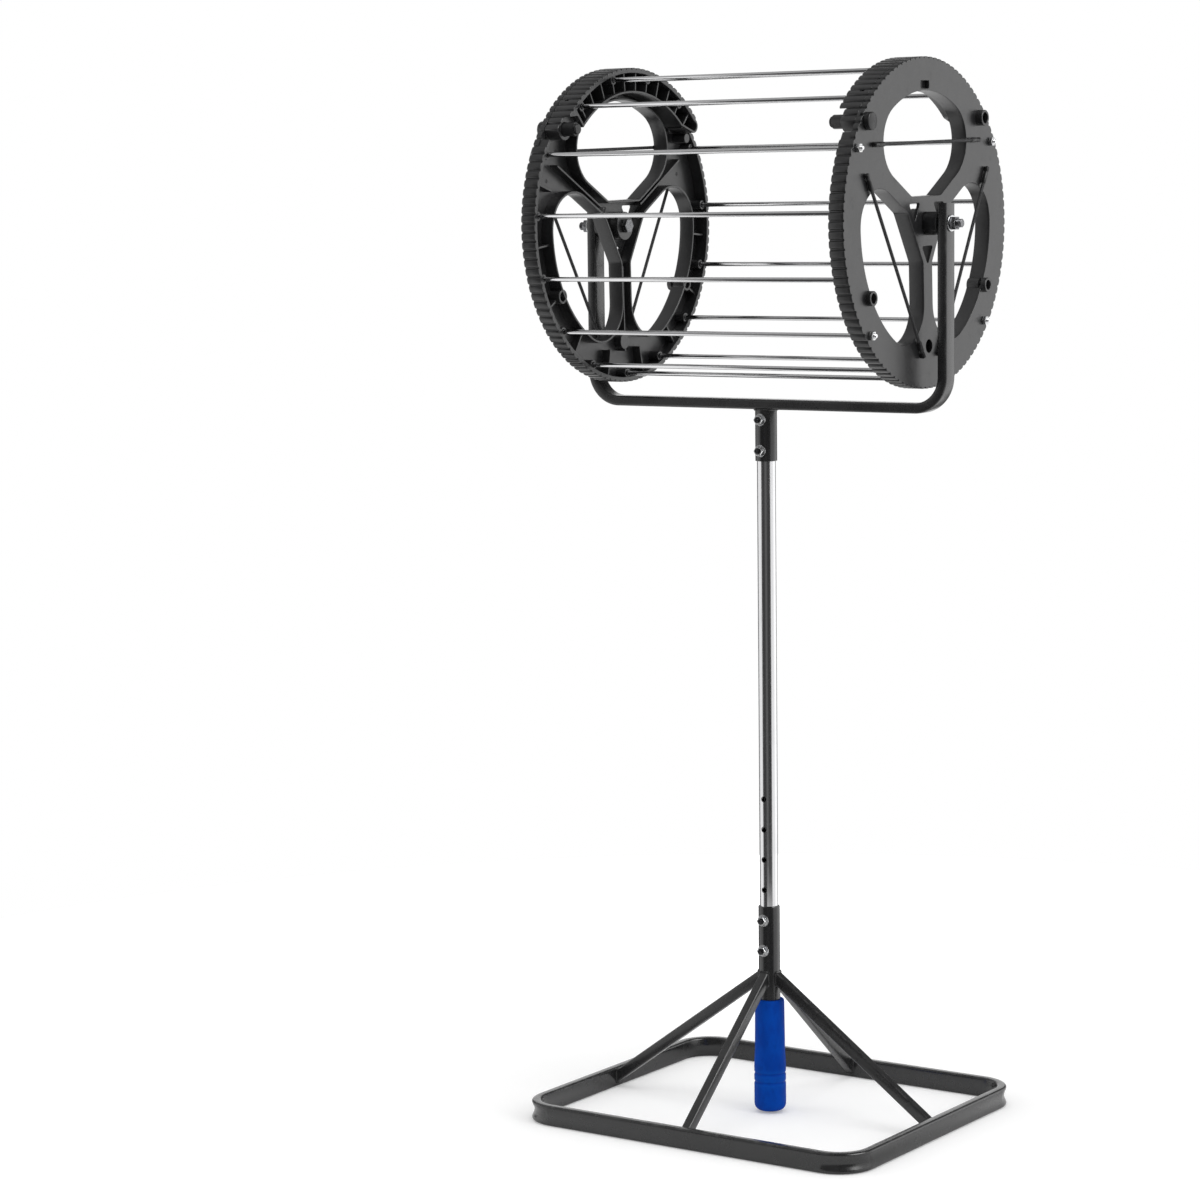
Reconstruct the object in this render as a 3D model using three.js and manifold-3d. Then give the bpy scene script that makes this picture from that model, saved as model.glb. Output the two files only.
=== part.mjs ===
// A tennis ball hopper: an open drum of steel rods between two toothed wheels, turning in a
// yoke on a stand. One stretch of the drum is a hinged door. Millimetres, +Z up, X along the
// drum's axle, and the origin on the floor under the middle of the base ring.
import * as THREE from 'three';
import { mergeVertices } from 'three/addons/utils/BufferGeometryUtils.js';
import Module from 'manifold-3d';

// Fits
const fitGap = 0.3;
const cutOverrun = 1;
const mergeTolerance = 0.02;

// Base ring: one flat tube on edge, bent round and welded shut
const ringLength = 384;
const ringWidth = 331;
const ringHeight = 20;
const ringThickness = 9.6;
const ringCornerRadius = 38;
const ringEdgeRadius = 2.4;
const ringDishDepth = 2.6;
const ringBulge = 1.4;
const ringCornerSteps = 6;

// Legs: four flat-sided tubes from the sleeve to the middle of each side of the ring
const legWidth = 9;
const legDepth = 11;
const legWall = 1.2;
const legBelowBolt = 29.3;
const legFootHeight = 11;

// Column: sleeve, pole and the socket under the yoke
const poleRadius = 9.2;
const poleWall = 1.4;
const poleBelowBolt = 18.3;
const sleeveWall = 1.2;
const sleeveAboveBolt = 13.4;
const sleeveFoot = 32;
const lowBoltHeight = 164.3;
const boltPitch = 30.3;
const polePinHoleCount = 6;
const boltHoleRadius = 2.9;
const socketHeight = 50;
const socketTopMargin = 9.5;
const columnSides = 16;

// Grip: a moulded sleeve on the lower end of the column
const gripBelowLegs = 21;
const gripBottom = 1.6;
const gripFloor = 27;
const gripNeckRadius = 13.8;
const gripTopRadius = 14.6;
const gripWaistRadius = 14.9;
const gripEndRadius = 15.8;
const gripBottomRadius = 10.4;
const gripChamfer = 4.5;
const gripBottomChamfer = 6;
const gripRidgeHeight = 1.0;
const gripRidgeLow = 30;
const gripRidgePitch = 9;
const gripRidges = 2;
const gripSides = 20;

// Yoke: one flat tube bent to a U, with the axle bolts near its ends
const yokeThickness = 10;
const yokeWidth = 18;
const yokeEdgeRadius = 2.2;
const yokeEndTip = 0.4;
const yokeBendRadius = 30;
const yokeDrumGap = 13.5;
const yokeAboveAxle = 19;
const yokeBendSteps = 6;

// Drum
const axleHeight = 878;
const drumTurn = 1.8;
const drumLength = 358;
const rodRadius = 2.3;
const rodCircle = 146.5;
const rodCount = 15;
const rodFirstAngle = 6;
const doorRodIndices = [2, 3, 4, 5];
const tieRodIndices = [1, 6, 9, 13];
const rodSides = 8;

// Wheels: outline and shell
const toothTip = 155;
const toothHeight = 1.6;
const toothCount = 112;
const toothFlankShare = 0.2;
const rimThickness = 3.4;
const rimDepth = 16;
const rimDoorDepth = 6;
const faceThickness = 3;
const rimSides = 52;

// Wheels: the three windows, the spokes between them and the hub
const windowOuterRadius = 123.5;
const windowShoulderRadius = 36;
const windowCornerRadius = 8;
const windowFloor = 25.5;
const spokeHalfWidth = 8.5;
const spokeAngle = 30;
const flangeThickness = 2.2;
const windowArcSteps = 8;
const windowShoulderSteps = 5;
const windowCornerSteps = 2;
const windowAngles = [0, 120, 240];
const hubRadius = 14;
const hubSides = 14;
const hubHoleApexRadius = 38.5;
const hubHoleBaseRadius = 21;
const hubHoleHalfWidth = 10.5;
const spokeRibThickness = 2;
const spokeRibFoot = 40;

// Wheels: ribs, rod bosses and small features of the face
const ribThickness = 2;
const ribDepth = 12;
const rodBossRadius = 4.8;
const rodBossDepth = 14;
const rodSeatDepth = 4;
const bossSides = 8;
const indexSides = 14;
const slotWidth = 16;
const slotHeight = 7.4;
const slotCircle = 128.9;
const slotDepth = 4.7;
const pocketWall = 1.3;
const indexHoleDepth = 10.4;
const indexHoleRadius = 6.2;
const indexHoleCircle = 115;
const stubRadius = 7;
const stubBore = 4.6;
const stubHeight = 5;
const stubCircle = 127.5;
const stubAngles = [210, 330];
const stubSides = 10;

// Door: a shell at each end, joined by its own rods
const doorDepth = 29;
const doorPlate = 2.4;
const doorWall = 2.2;
const doorInnerRadius = 130.5;
const doorHollowEndAngle = 130;
const doorInnerEndAngle = 131;
const doorOuterEndAngle = 136.5;
const doorBendAngle = 48;
const doorTipAngle = 41;
const doorTipRadius = 7;
const doorTipSteps = 6;
const doorTipTurn = 105;
const doorRibThickness = 1.8;
const doorRibPitchAngle = 8;
const doorRibFirstAngle = 46;
const doorRibLastAngle = 126;
const doorRodSeat = 12;
const doorGap = 0.4;
const rodPortWidth = 4.4;
const doorArcSteps = 14;

// Door hinge and catch
const hingeAngle = 138;
const hingeCircle = 145;
const hingePinRadius = 6.6;
const hingeHeadRadius = 8.3;
const hingeHeadHeight = 5.5;
const hingePinDepth = 38;
const hingePinTipRadius = 5;
const hingePinTip = 3;
const knuckleRadius = 10.5;
const knuckleDepth = 22;
const knuckleToothAngle = 141.5;
const knuckleFlankTurn = 77;
const hingeRimGap = 18;
const hingeSides = 16;
const catchAngle = 42.5;
const catchCircle = 142.5;
const catchRadius = 7.5;
const catchBore = 5.2;
const catchOutboard = 7;
const doorRimGap = 2;
const catchSides = 14;
const catchPostAngle = 36.5;
const catchPostCircle = 141;
const catchPostRadius = 5;
const catchPostDepth = 18;
const catchPostSides = 12;

// Cords across the windows
const cordRadius = 1.6;
const cordFerruleRadius = 2.3;
const cordFerruleLength = 16;
const cordCircle = 124.5;
const cordHalfAngle = 52.6;
const cordSides = 6;

// Axle and fasteners
const axleBoltRadius = 4;
const axleHeadRadius = 7.6;
const axleHeadHeight = 5;
const axleWasherRadius = 7.8;
const axleWasherThickness = 1.4;
const axleNutRadius = 6.8;
const axleNutHeight = 5.2;
const axleBoltProjection = 5.4;
const spacerRadius = 11;
const spacerLength = 15;
const tieNutRadius = 4.6;
const tieNutHeight = 3.6;
const tieProjection = 2.4;
const crossBoltRadius = 2.5;
const crossNutRadius = 4.9;
const crossNutHeight = 4;
const crossWasherRadius = 6;
const crossWasherThickness = 1.1;
const crossBoltProjection = 2.4;
const crossHeadRadius = 4.4;
const crossHeadHeight = 2.6;
const hexSides = 6;
const boltSides = 12;

const wasm = await Module();
wasm.setup();

// Materials
const material = (color, roughness, metalness) =>
  new THREE.MeshStandardMaterial({ color, roughness, metalness });
const blackPaint = material(0x2b2b2c, 0.42, 0.1);
const blackPlastic = material(0x404042, 0.5, 0);
const darkPlastic = material(0x1c1c1d, 0.45, 0);
const steel = material(0xc9cacb, 0.22, 1);
const darkSteel = material(0x4a4b4d, 0.35, 1);
const blueRubber = material(0x0d3c8f, 0.55, 0);

// Solids: joining and cutting
function solidFrom(geometry) {
  const bare = geometry.clone();
  bare.deleteAttribute('normal');
  bare.deleteAttribute('uv');
  const welded = mergeVertices(bare);
  return new wasm.Manifold(new wasm.Mesh({
    numProp: 3,
    vertProperties: new Float32Array(welded.attributes.position.array),
    triVerts: new Uint32Array(welded.index.array),
  }));
}

function geometryFrom(solid) {
  const mesh = solid.asOriginal().simplify(mergeTolerance).getMesh();
  const geometry = new THREE.BufferGeometry();
  geometry.setAttribute('position', new THREE.BufferAttribute(mesh.vertProperties, mesh.numProp));
  geometry.setIndex(new THREE.BufferAttribute(mesh.triVerts, 1));
  return geometry;
}

const joined = (solids) => solids.reduce((whole, piece) => whole.add(piece));
const cutBy = (solid, tools) => tools.reduce((rest, tool) => rest.subtract(tool), solid);

// The same solid seen in a mirror at z = 0, with its faces turned outward again
function mirroredInDepth(geometry) {
  const mirrored = geometry.clone().scale(1, 1, -1);
  const index = mirrored.index.array;
  for (let i = 0; i < index.length; i += 3) {
    [index[i], index[i + 1]] = [index[i + 1], index[i]];
  }
  return mirrored;
}

// Outlines in the plane, angles in degrees
const toRadians = THREE.MathUtils.degToRad;
const polar = (radius, angle) =>
  new THREE.Vector2(radius * Math.cos(toRadians(angle)), radius * Math.sin(toRadians(angle)));

function arc(centre, radius, from, to, steps) {
  const points = [];
  for (let i = 0; i <= steps; i += 1) {
    points.push(polar(radius, from + ((to - from) * i) / steps).add(centre));
  }
  return points;
}

const circle = (centre, radius, sides) => arc(centre, radius, 0, 360, sides).slice(0, -1);
const turned = (points, angle) =>
  points.map((point) => point.clone().rotateAround(new THREE.Vector2(), toRadians(angle)));

// An outline with holes, extruded from one depth to another
function slab(outline, holes, low, high) {
  const shape = new THREE.Shape(outline);
  shape.holes = holes.map((hole) => new THREE.Path(hole));
  const geometry = new THREE.ExtrudeGeometry(shape, { depth: high - low, bevelEnabled: false });
  return solidFrom(geometry.translate(0, 0, low));
}

const disc = (centre, radius, sides, low, high) => slab(circle(centre, radius, sides), [], low, high);
const tube = (centre, outer, inner, sides, low, high) =>
  slab(circle(centre, outer, sides), [circle(centre, inner, sides)], low, high);

// A rectangular bar lying along a radius, from one depth to another
function radialBar(angle, inner, outer, thickness, low, high) {
  const half = thickness / 2;
  const corners = [[inner, -half], [outer, -half], [outer, half], [inner, half]];
  const outline = corners.map(([along, across]) => new THREE.Vector2(along, across));
  return slab(turned(outline, angle), [], low, high);
}

// A lofted solid through rings of points: a closed loop, or capped at both ends
function loft(rings, isLoop) {
  const count = rings[0].length;
  const position = rings.flat().flatMap((point) => point.toArray());
  const index = [];
  const last = isLoop ? rings.length : rings.length - 1;
  for (let ring = 0; ring < last; ring += 1) {
    const next = (ring + 1) % rings.length;
    for (let i = 0; i < count; i += 1) {
      const j = (i + 1) % count;
      const [a, b] = [ring * count + i, ring * count + j];
      const [c, d] = [next * count + i, next * count + j];
      index.push(a, d, b, a, c, d);
    }
  }
  if (!isLoop) {
    const end = (rings.length - 1) * count;
    for (let i = 1; i < count - 1; i += 1) {
      index.push(0, i, i + 1, end, end + i + 1, end + i);
    }
  }
  const geometry = new THREE.BufferGeometry();
  geometry.setAttribute('position', new THREE.Float32BufferAttribute(position, 3));
  geometry.setIndex(index);
  return geometry;
}

// Toothed outlines. Each tooth is a wide land, and a narrow valley divides it from the next.
const toothPitch = 360 / toothCount;
const toothRoot = toothTip - toothHeight;

function toothedArc(from, to) {
  const points = [];
  for (let tooth = Math.ceil(from / toothPitch); (tooth + 1) * toothPitch <= to; tooth += 1) {
    points.push(polar(toothRoot, tooth * toothPitch));
    points.push(polar(toothTip, (tooth + toothFlankShare) * toothPitch));
    points.push(polar(toothTip, (tooth + 1 - toothFlankShare) * toothPitch));
  }
  return points;
}

// One window at the top of a wheel, made larger all round by a given amount. Its sides run
// beside the spokes, its shoulders are wide arcs, and its foot is a side of the hub's web.
function windowOutline(grow) {
  const shoulderReach = windowOuterRadius - windowShoulderRadius;
  const shoulderTurn = THREE.MathUtils.radToDeg(
    Math.asin((spokeHalfWidth + windowShoulderRadius) / shoulderReach));
  const halfTurn = 180;
  const [right, left] = [spokeAngle + shoulderTurn, halfTurn - spokeAngle - shoulderTurn];
  const footHeight = windowFloor + windowCornerRadius;
  const footHalfWidth = (footHeight * Math.cos(toRadians(spokeAngle)) - spokeHalfWidth - windowCornerRadius)
    / Math.sin(toRadians(spokeAngle));
  const foot = new THREE.Vector2(footHalfWidth, footHeight);
  const footLeft = new THREE.Vector2(-footHalfWidth, footHeight);
  const shoulder = windowShoulderRadius + grow;
  const corner = windowCornerRadius + grow;
  const square = halfTurn / 2;
  const [sideStart, sideEnd] = [spokeAngle - square, halfTurn + square - spokeAngle];
  const footEnd = halfTurn + square;
  return [
    ...arc(polar(shoulderReach, right), shoulder, sideStart, right, windowShoulderSteps),
    ...arc(new THREE.Vector2(), windowOuterRadius + grow, right, left, windowArcSteps).slice(1, -1),
    ...arc(polar(shoulderReach, left), shoulder, left, sideEnd, windowShoulderSteps),
    ...arc(footLeft, corner, sideEnd, footEnd, windowCornerSteps),
    ...arc(foot, corner, footEnd, footEnd + spokeAngle, windowCornerSteps),
  ];
}

// Rods of the drum
const rodAngle = (index) => rodFirstAngle + (360 / rodCount) * index;
const allRods = Array.from({ length: rodCount }, (_, index) => index);
const wheelRods = allRods.filter((index) => !doorRodIndices.includes(index));
const springRods = wheelRods.filter((index) => !tieRodIndices.includes(index));
const rodPitch = 360 / rodCount;
const rodBore = rodRadius + fitGap;

const origin = new THREE.Vector2();
const hubBore = axleBoltRadius + fitGap;
const hingeCentre = polar(hingeCircle, hingeAngle);
const catchCentre = polar(catchCircle, catchAngle);
const catchPostCentre = polar(catchPostCircle, catchPostAngle);
const hingeBore = hingePinRadius + fitGap;
const rimInner = toothRoot - rimThickness;
const rimStart = hingeAngle + THREE.MathUtils.radToDeg(hingeRimGap / hingeCircle);
const doorTipCircle = toothRoot - doorTipRadius;
const rimEnd = doorTipAngle - THREE.MathUtils.radToDeg(doorTipRadius / doorTipCircle + doorRimGap / toothTip);
const cordEnds = (window) => [-cordHalfAngle, cordHalfAngle].map(
  (side) => polar(cordCircle, 90 + window + side));
const cordBore = cordRadius + fitGap;

// The stretch of the rim that gives way to the door, beyond its shallow outer strip
function doorRecess() {
  const outline = [
    ...arc(origin, toothTip + cutOverrun, rimEnd, rimStart, doorArcSteps),
    ...arc(origin, rimInner - cutOverrun, rimStart, rimEnd, doorArcSteps),
  ];
  return slab(outline, [], rimDoorDepth, rimDepth + cutOverrun);
}

function wheelFace() {
  const plateHoles = windowAngles.map((angle) => turned(windowOutline(flangeThickness / 2), angle));
  const across = (side) => polar(1, spokeAngle).rotateAround(origin, Math.PI / 2)
    .multiplyScalar(hubHoleHalfWidth * side);
  const hubHole = [polar(hubHoleApexRadius, spokeAngle)];
  hubHole.push(...[1, -1].map((side) => polar(hubHoleBaseRadius, spokeAngle).add(across(side))));
  plateHoles.push(...windowAngles.map((angle) => turned(hubHole, angle)));
  plateHoles.push(circle(origin, (hubRadius + hubBore) / 2, hubSides));
  const plate = slab(circle(origin, (rimInner + toothRoot) / 2, rimSides), plateHoles, 0, faceThickness);
  const holes = [];
  for (const end of windowAngles.flatMap(cordEnds)) {
    holes.push(disc(end, cordBore, cordSides, -cutOverrun, rimDepth));
  }
  return cutBy(plate, holes);
}

function wheelRim() {
  const rim = slab(toothedArc(0, 360), [circle(origin, rimInner, rimSides)], 0, rimDepth);
  return rim.subtract(doorRecess());
}

// The slot above the top window, drawn larger all round by a given amount
function slotOutline(grow) {
  const [halfWidth, halfHeight] = [slotWidth / 2 + grow, slotHeight / 2 + grow];
  const corners = [[-halfWidth, -halfHeight], [halfWidth, -halfHeight], [halfWidth, halfHeight],
    [-halfWidth, halfHeight]];
  return corners.map(([x, y]) => new THREE.Vector2(x, slotCircle + y));
}

const indexHoleCentre = polar(indexHoleCircle, 270);

function wheelRibs() {
  const buried = faceThickness / 2;
  const ribs = [];
  for (const index of allRods) {
    const angle = rodAngle(index) + rodPitch / 2;
    if (angle > rimStart && angle < 360 + rimEnd) {
      ribs.push(radialBar(angle, windowOuterRadius + flangeThickness / 2, rimInner + rimThickness / 2,
        ribThickness, buried, ribDepth));
    }
  }
  for (const angle of windowAngles) {
    ribs.push(radialBar(angle + spokeAngle, spokeRibFoot, cordCircle, spokeRibThickness, buried, ribDepth));
  }
  return ribs;
}

// A wheel, with depth 0 at its outer face and growing toward the inside of the drum
function wheelShell() {
  const buried = faceThickness / 2;
  const body = [wheelFace(), wheelRim(), ...wheelRibs()];
  for (const angle of windowAngles) {
    const outer = turned(windowOutline(flangeThickness), angle);
    body.push(slab(outer, [turned(windowOutline(0), angle)], 0, rimDepth));
  }
  body.push(tube(origin, hubRadius, hubBore, hubSides, 0, rimDepth));
  body.push(tube(hingeCentre, knuckleRadius, hingeBore, hingeSides, buried, rimDoorDepth));
  for (const index of wheelRods) {
    body.push(disc(polar(rodCircle, rodAngle(index)), rodBossRadius, bossSides, buried, rodBossDepth));
  }
  body.push(disc(catchCentre, catchRadius, catchSides, -catchOutboard, rimDoorDepth));
  body.push(disc(catchPostCentre, catchPostRadius, catchPostSides, buried, catchPostDepth));
  for (const angle of stubAngles) {
    body.push(disc(polar(stubCircle, angle), stubRadius, stubSides, -stubHeight, rimDepth));
  }
  body.push(slab(slotOutline(pocketWall), [], buried, slotDepth + pocketWall));
  body.push(disc(indexHoleCentre, indexHoleRadius + pocketWall, indexSides, buried,
    indexHoleDepth + pocketWall));
  const cuts = wheelRods.map((index) => {
    const outer = tieRodIndices.includes(index) ? -cutOverrun : rodSeatDepth;
    return disc(polar(rodCircle, rodAngle(index)), rodBore, bossSides, outer, rimDepth);
  });
  cuts.push(disc(hingeCentre, hingeBore, hingeSides, -cutOverrun, rimDepth + cutOverrun));
  cuts.push(disc(catchCentre, catchBore, catchSides, -catchOutboard - cutOverrun, faceThickness));
  for (const angle of stubAngles) {
    cuts.push(disc(polar(stubCircle, angle), stubBore, stubSides, -stubHeight - cutOverrun,
      rimDepth + cutOverrun));
  }
  cuts.push(slab(slotOutline(0), [], -cutOverrun, slotDepth));
  cuts.push(disc(indexHoleCentre, indexHoleRadius, indexSides, -cutOverrun, indexHoleDepth));
  return cutBy(joined(body), cuts);
}

// The outline of a door end, drawn in by a wall's thickness for its hollow. It runs along the
// teeth to the hinge, back along the inner wall, out beside the catch and round the tip.
function doorOutline(inset) {
  const tip = polar(doorTipCircle, doorTipAngle);
  const inner = doorInnerRadius + inset;
  const tipSteps = arc(tip, doorTipRadius - inset, -doorTipTurn, doorTipAngle, doorTipSteps);
  const outer = inset > 0
    ? [...arc(origin, rimInner, doorTipAngle, doorHollowEndAngle, doorArcSteps).slice(1)]
    : [...toothedArc(doorTipAngle, doorOuterEndAngle), polar(hingeCircle, doorInnerEndAngle)];
  const end = inset > 0 ? doorHollowEndAngle : doorInnerEndAngle;
  return [...tipSteps, ...outer, ...arc(origin, inner, end, doorBendAngle, doorArcSteps)];
}

// The hinge block of a door end: its outer side carries on the teeth, its far side is round,
// and its inner side slants back to the inner wall of the tray
function knuckleOutline() {
  const halfTurn = 180;
  return [
    ...toothedArc(doorInnerEndAngle, knuckleToothAngle),
    ...arc(hingeCentre, knuckleRadius, hingeAngle + knuckleFlankTurn, hingeAngle + halfTurn,
      hingeSides / 2),
    polar(doorInnerRadius + doorWall / 2, doorHollowEndAngle),
  ];
}

// A door end: a tray, open toward the inside of the drum, with ribs and seats for its rods
function doorEnd() {
  const face = rimDoorDepth + doorGap;
  const plateBack = face + doorPlate;
  const shell = slab(doorOutline(0), [], face, doorDepth)
    .subtract(slab(doorOutline(doorWall), [], plateBack, doorDepth + cutOverrun));
  const body = [shell];
  const buried = face + doorPlate / 2;
  for (let angle = doorRibFirstAngle; angle <= doorRibLastAngle; angle += doorRibPitchAngle) {
    body.push(radialBar(angle, doorInnerRadius + doorWall / 2, rimInner + rimThickness / 2,
      doorRibThickness, buried, doorDepth - doorPlate));
  }
  for (const index of doorRodIndices) {
    body.push(disc(polar(rodCircle, rodAngle(index)), rodBossRadius, bossSides, buried,
      doorDepth - doorPlate / 2));
  }
  body.push(slab(knuckleOutline(), [], face, knuckleDepth));
  const cuts = doorRodIndices.map((index) =>
    disc(polar(rodCircle, rodAngle(index)), rodBore, bossSides, doorRodSeat, doorDepth));
  cuts.push(disc(hingeCentre, hingeBore, hingeSides, 0, doorDepth + cutOverrun));
  const portRod = rodAngle(doorRodIndices[doorRodIndices.length - 1]);
  cuts.push(radialBar(portRod, rodCircle, toothTip + cutOverrun, rodPortWidth, doorRodSeat,
    doorRodSeat + rodPortWidth));
  return cutBy(joined(body), cuts);
}

// Turned pieces about their own Z axis, given by rings of radius and height
function turnedPiece(profile, sides) {
  const outline = [[0, profile[0][1]], ...profile, [0, profile[profile.length - 1][1]]];
  const points = outline.map(([radius, height]) => new THREE.Vector2(radius, height));
  return new THREE.LatheGeometry(points, sides).rotateX(Math.PI / 2);
}

// A shaft with its axis along Z, from one height to another
function shaft(radius, low, high, sides) {
  const geometry = new THREE.CylinderGeometry(radius, radius, high - low, sides);
  return geometry.rotateX(Math.PI / 2).translate(0, 0, (low + high) / 2);
}

function shaftSolid(radius, low, high, sides) {
  return solidFrom(shaft(radius, low, high, sides));
}

// Ring of points round a flat tube's section, with rounded edges. Its two broad walls can be
// pressed in or out by the given amounts, as a bend does.
function tubeSection(thickness, width, edgeRadius, dish, bulge) {
  const [halfThickness, halfWidth] = [thickness / 2, width / 2];
  const [u, v] = [halfThickness - edgeRadius, halfWidth - edgeRadius];
  const square = 90;
  const corner = (x, y, from) =>
    arc(new THREE.Vector2(x, y), edgeRadius, from, from + square, 2);
  return [
    ...corner(u, v, 0), ...corner(-u, v, 90),
    new THREE.Vector2(-halfThickness - bulge, 0),
    ...corner(-u, -v, 180), ...corner(u, -v, 270),
    new THREE.Vector2(halfThickness - dish, 0),
  ];
}

// The base ring, swept round its rounded rectangle. At the corners the outer wall is drawn in
// to a dish and the inner wall swells, as in a flat tube that has been bent.
function baseRing() {
  const rings = [];
  const cornerX = ringLength / 2 - ringCornerRadius;
  const cornerY = ringWidth / 2 - ringCornerRadius;
  const path = ringCornerRadius - ringThickness / 2;
  const corners = [[cornerX, cornerY], [-cornerX, cornerY], [-cornerX, -cornerY], [cornerX, -cornerY]];
  corners.forEach(([x, y], quarter) => {
    for (let step = 0; step <= ringCornerSteps; step += 1) {
      const bend = Math.sin((Math.PI * step) / ringCornerSteps) ** 0.5;
      const outward = polar(1, 90 * (quarter + step / ringCornerSteps));
      const section = tubeSection(ringThickness, ringHeight, ringEdgeRadius,
        ringDishDepth * bend, ringBulge * bend);
      rings.push(section.map((point) => new THREE.Vector3(
        x + outward.x * (path + point.x),
        y + outward.y * (path + point.x),
        ringHeight / 2 + point.y,
      )));
    }
  });
  return loft(rings, true);
}

// A leg: a square tube with upright ends, coped to the sleeve. It runs out along +X.
const sleeveBore = poleRadius + fitGap;
const sleeveRadius = sleeveBore + sleeveWall;
const legTopHeight = lowBoltHeight - legBelowBolt;
const sleeveTop = lowBoltHeight + boltPitch + sleeveAboveBolt;

function leg(reach) {
  const run = reach - sleeveRadius;
  const slope = (legTopHeight - legFootHeight) / run;
  const upright = Math.hypot(1, slope);
  const bar = (width, depth, inner, outer) => {
    const half = (depth / 2) * upright;
    const heightAt = (x) => legTopHeight - slope * (x - sleeveRadius);
    const ring = (x) => [[-1, -1], [-1, 1], [1, 1], [1, -1]].map(([side, up]) =>
      new THREE.Vector3(x, side * (width / 2), heightAt(x) + up * half));
    return solidFrom(loft([ring(inner), ring(outer)], false));
  };
  const core = bar(legWidth - 2 * legWall, legDepth - 2 * legWall, -cutOverrun, reach + cutOverrun);
  const cope = shaftSolid(sleeveRadius + fitGap, sleeveFoot, sleeveTop, columnSides);
  return cutBy(bar(legWidth, legDepth, 0, reach - fitGap), [core, cope]);
}

// Cross holes through a column tube, along Y
function crossHoles(heights) {
  return heights.map((height) => {
    const reach = sleeveRadius + cutOverrun;
    const hole = shaft(boltHoleRadius, -reach, reach, boltSides / 2).rotateX(Math.PI / 2);
    return solidFrom(hole.translate(0, 0, height));
  });
}

function columnTube(outer, inner, low, high, holes) {
  const wall = tube(origin, outer, inner, columnSides, low, high);
  return cutBy(wall, crossHoles(holes));
}

const yokeBarTop = axleHeight - toothTip - yokeDrumGap;
const yokeBarBottom = yokeBarTop - yokeThickness;
const socketTop = yokeBarBottom - fitGap;
const baseBoltHeights = [lowBoltHeight, lowBoltHeight + boltPitch];
const socketBoltHeights = [socketTop - socketTopMargin - boltPitch, socketTop - socketTopMargin];
const poleHoleHeights = Array.from({ length: polePinHoleCount },
  (_, index) => lowBoltHeight + boltPitch * index).concat(socketBoltHeights);

// The grip, with a bore for the column and finger ridges near its lower end
function grip() {
  const bore = sleeveRadius + fitGap;
  const gripTop = legTopHeight - gripBelowLegs;
  const profile = [[gripBottomRadius, gripBottom], [gripEndRadius, gripBottom + gripBottomChamfer]];
  for (let ridge = 0; ridge < gripRidges; ridge += 1) {
    const height = gripRidgeLow + gripRidgePitch * ridge;
    profile.push([gripEndRadius, height - gripRidgePitch / 4]);
    profile.push([gripEndRadius - gripRidgeHeight, height]);
    profile.push([gripEndRadius, height + gripRidgePitch / 4]);
  }
  profile.push([gripWaistRadius, (gripTop + gripBottom) / 2]);
  profile.push([gripTopRadius, gripTop - gripChamfer]);
  profile.push([gripNeckRadius, gripTop]);
  profile.push([bore, gripTop], [bore, gripFloor]);
  return turnedPiece(profile, gripSides);
}

// The yoke, swept along its U from one arm's end to the other
function yoke() {
  const half = drumLength / 2 + spacerLength + yokeThickness / 2;
  const top = axleHeight + yokeAboveAxle;
  const bar = yokeBarTop - yokeThickness / 2;
  const endRound = yokeEdgeRadius * Math.SQRT1_2;
  const endSteps = [
    [yokeEdgeRadius - yokeEndTip, top],
    [yokeEdgeRadius - endRound, top - yokeEdgeRadius + endRound],
    [0, top - yokeEdgeRadius],
  ];
  const stations = endSteps.map(([inset, height]) => [half, height, 0, inset]);
  for (const [side, from] of [[1, 0], [-1, 90]]) {
    for (let step = 0; step <= yokeBendSteps; step += 1) {
      const angle = from + (90 * step) / yokeBendSteps;
      const outward = polar(1, -angle);
      stations.push([side * (half - yokeBendRadius) + outward.x * yokeBendRadius,
        bar + yokeBendRadius + outward.y * yokeBendRadius, angle, 0]);
    }
  }
  stations.push(...endSteps.reverse().map(([inset, height]) => [-half, height, 180, inset]));
  const sweep = stations.map(([x, z, angle, inset]) => {
    const outward = polar(1, -angle);
    const section = tubeSection(yokeThickness - 2 * inset, yokeWidth - 2 * inset,
      yokeEdgeRadius - inset, 0, 0);
    return section.map((point) =>
      new THREE.Vector3(x + outward.x * point.x, point.y, z + outward.y * point.x));
  });
  const solid = solidFrom(loft(sweep, false));
  const cuts = [];
  for (const side of [1, -1]) {
    const reach = yokeThickness / 2 + cutOverrun;
    const bore = shaft(axleBoltRadius + fitGap, -reach, reach, boltSides).rotateY(Math.PI / 2);
    cuts.push(solidFrom(bore.translate(side * half, 0, axleHeight)));
  }
  return cutBy(solid, cuts);
}

// Fasteners lie along their own Z axis, with the head's seat at height 0
function headedBolt(headRadius, headHeight, headSides, radius, length) {
  return joined([
    shaftSolid(headRadius, -headHeight, 0, headSides),
    shaftSolid(radius, -headHeight / 2, length, boltSides),
  ]);
}

function washeredNut(nutRadius, nutHeight, washerRadius, washerThickness, bore) {
  const body = joined([
    shaftSolid(washerRadius, 0, washerThickness, boltSides),
    shaftSolid(nutRadius, washerThickness / 2, washerThickness + nutHeight, hexSides),
  ]);
  return body.subtract(shaftSolid(bore, -cutOverrun, washerThickness + nutHeight + cutOverrun, boltSides));
}

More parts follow.
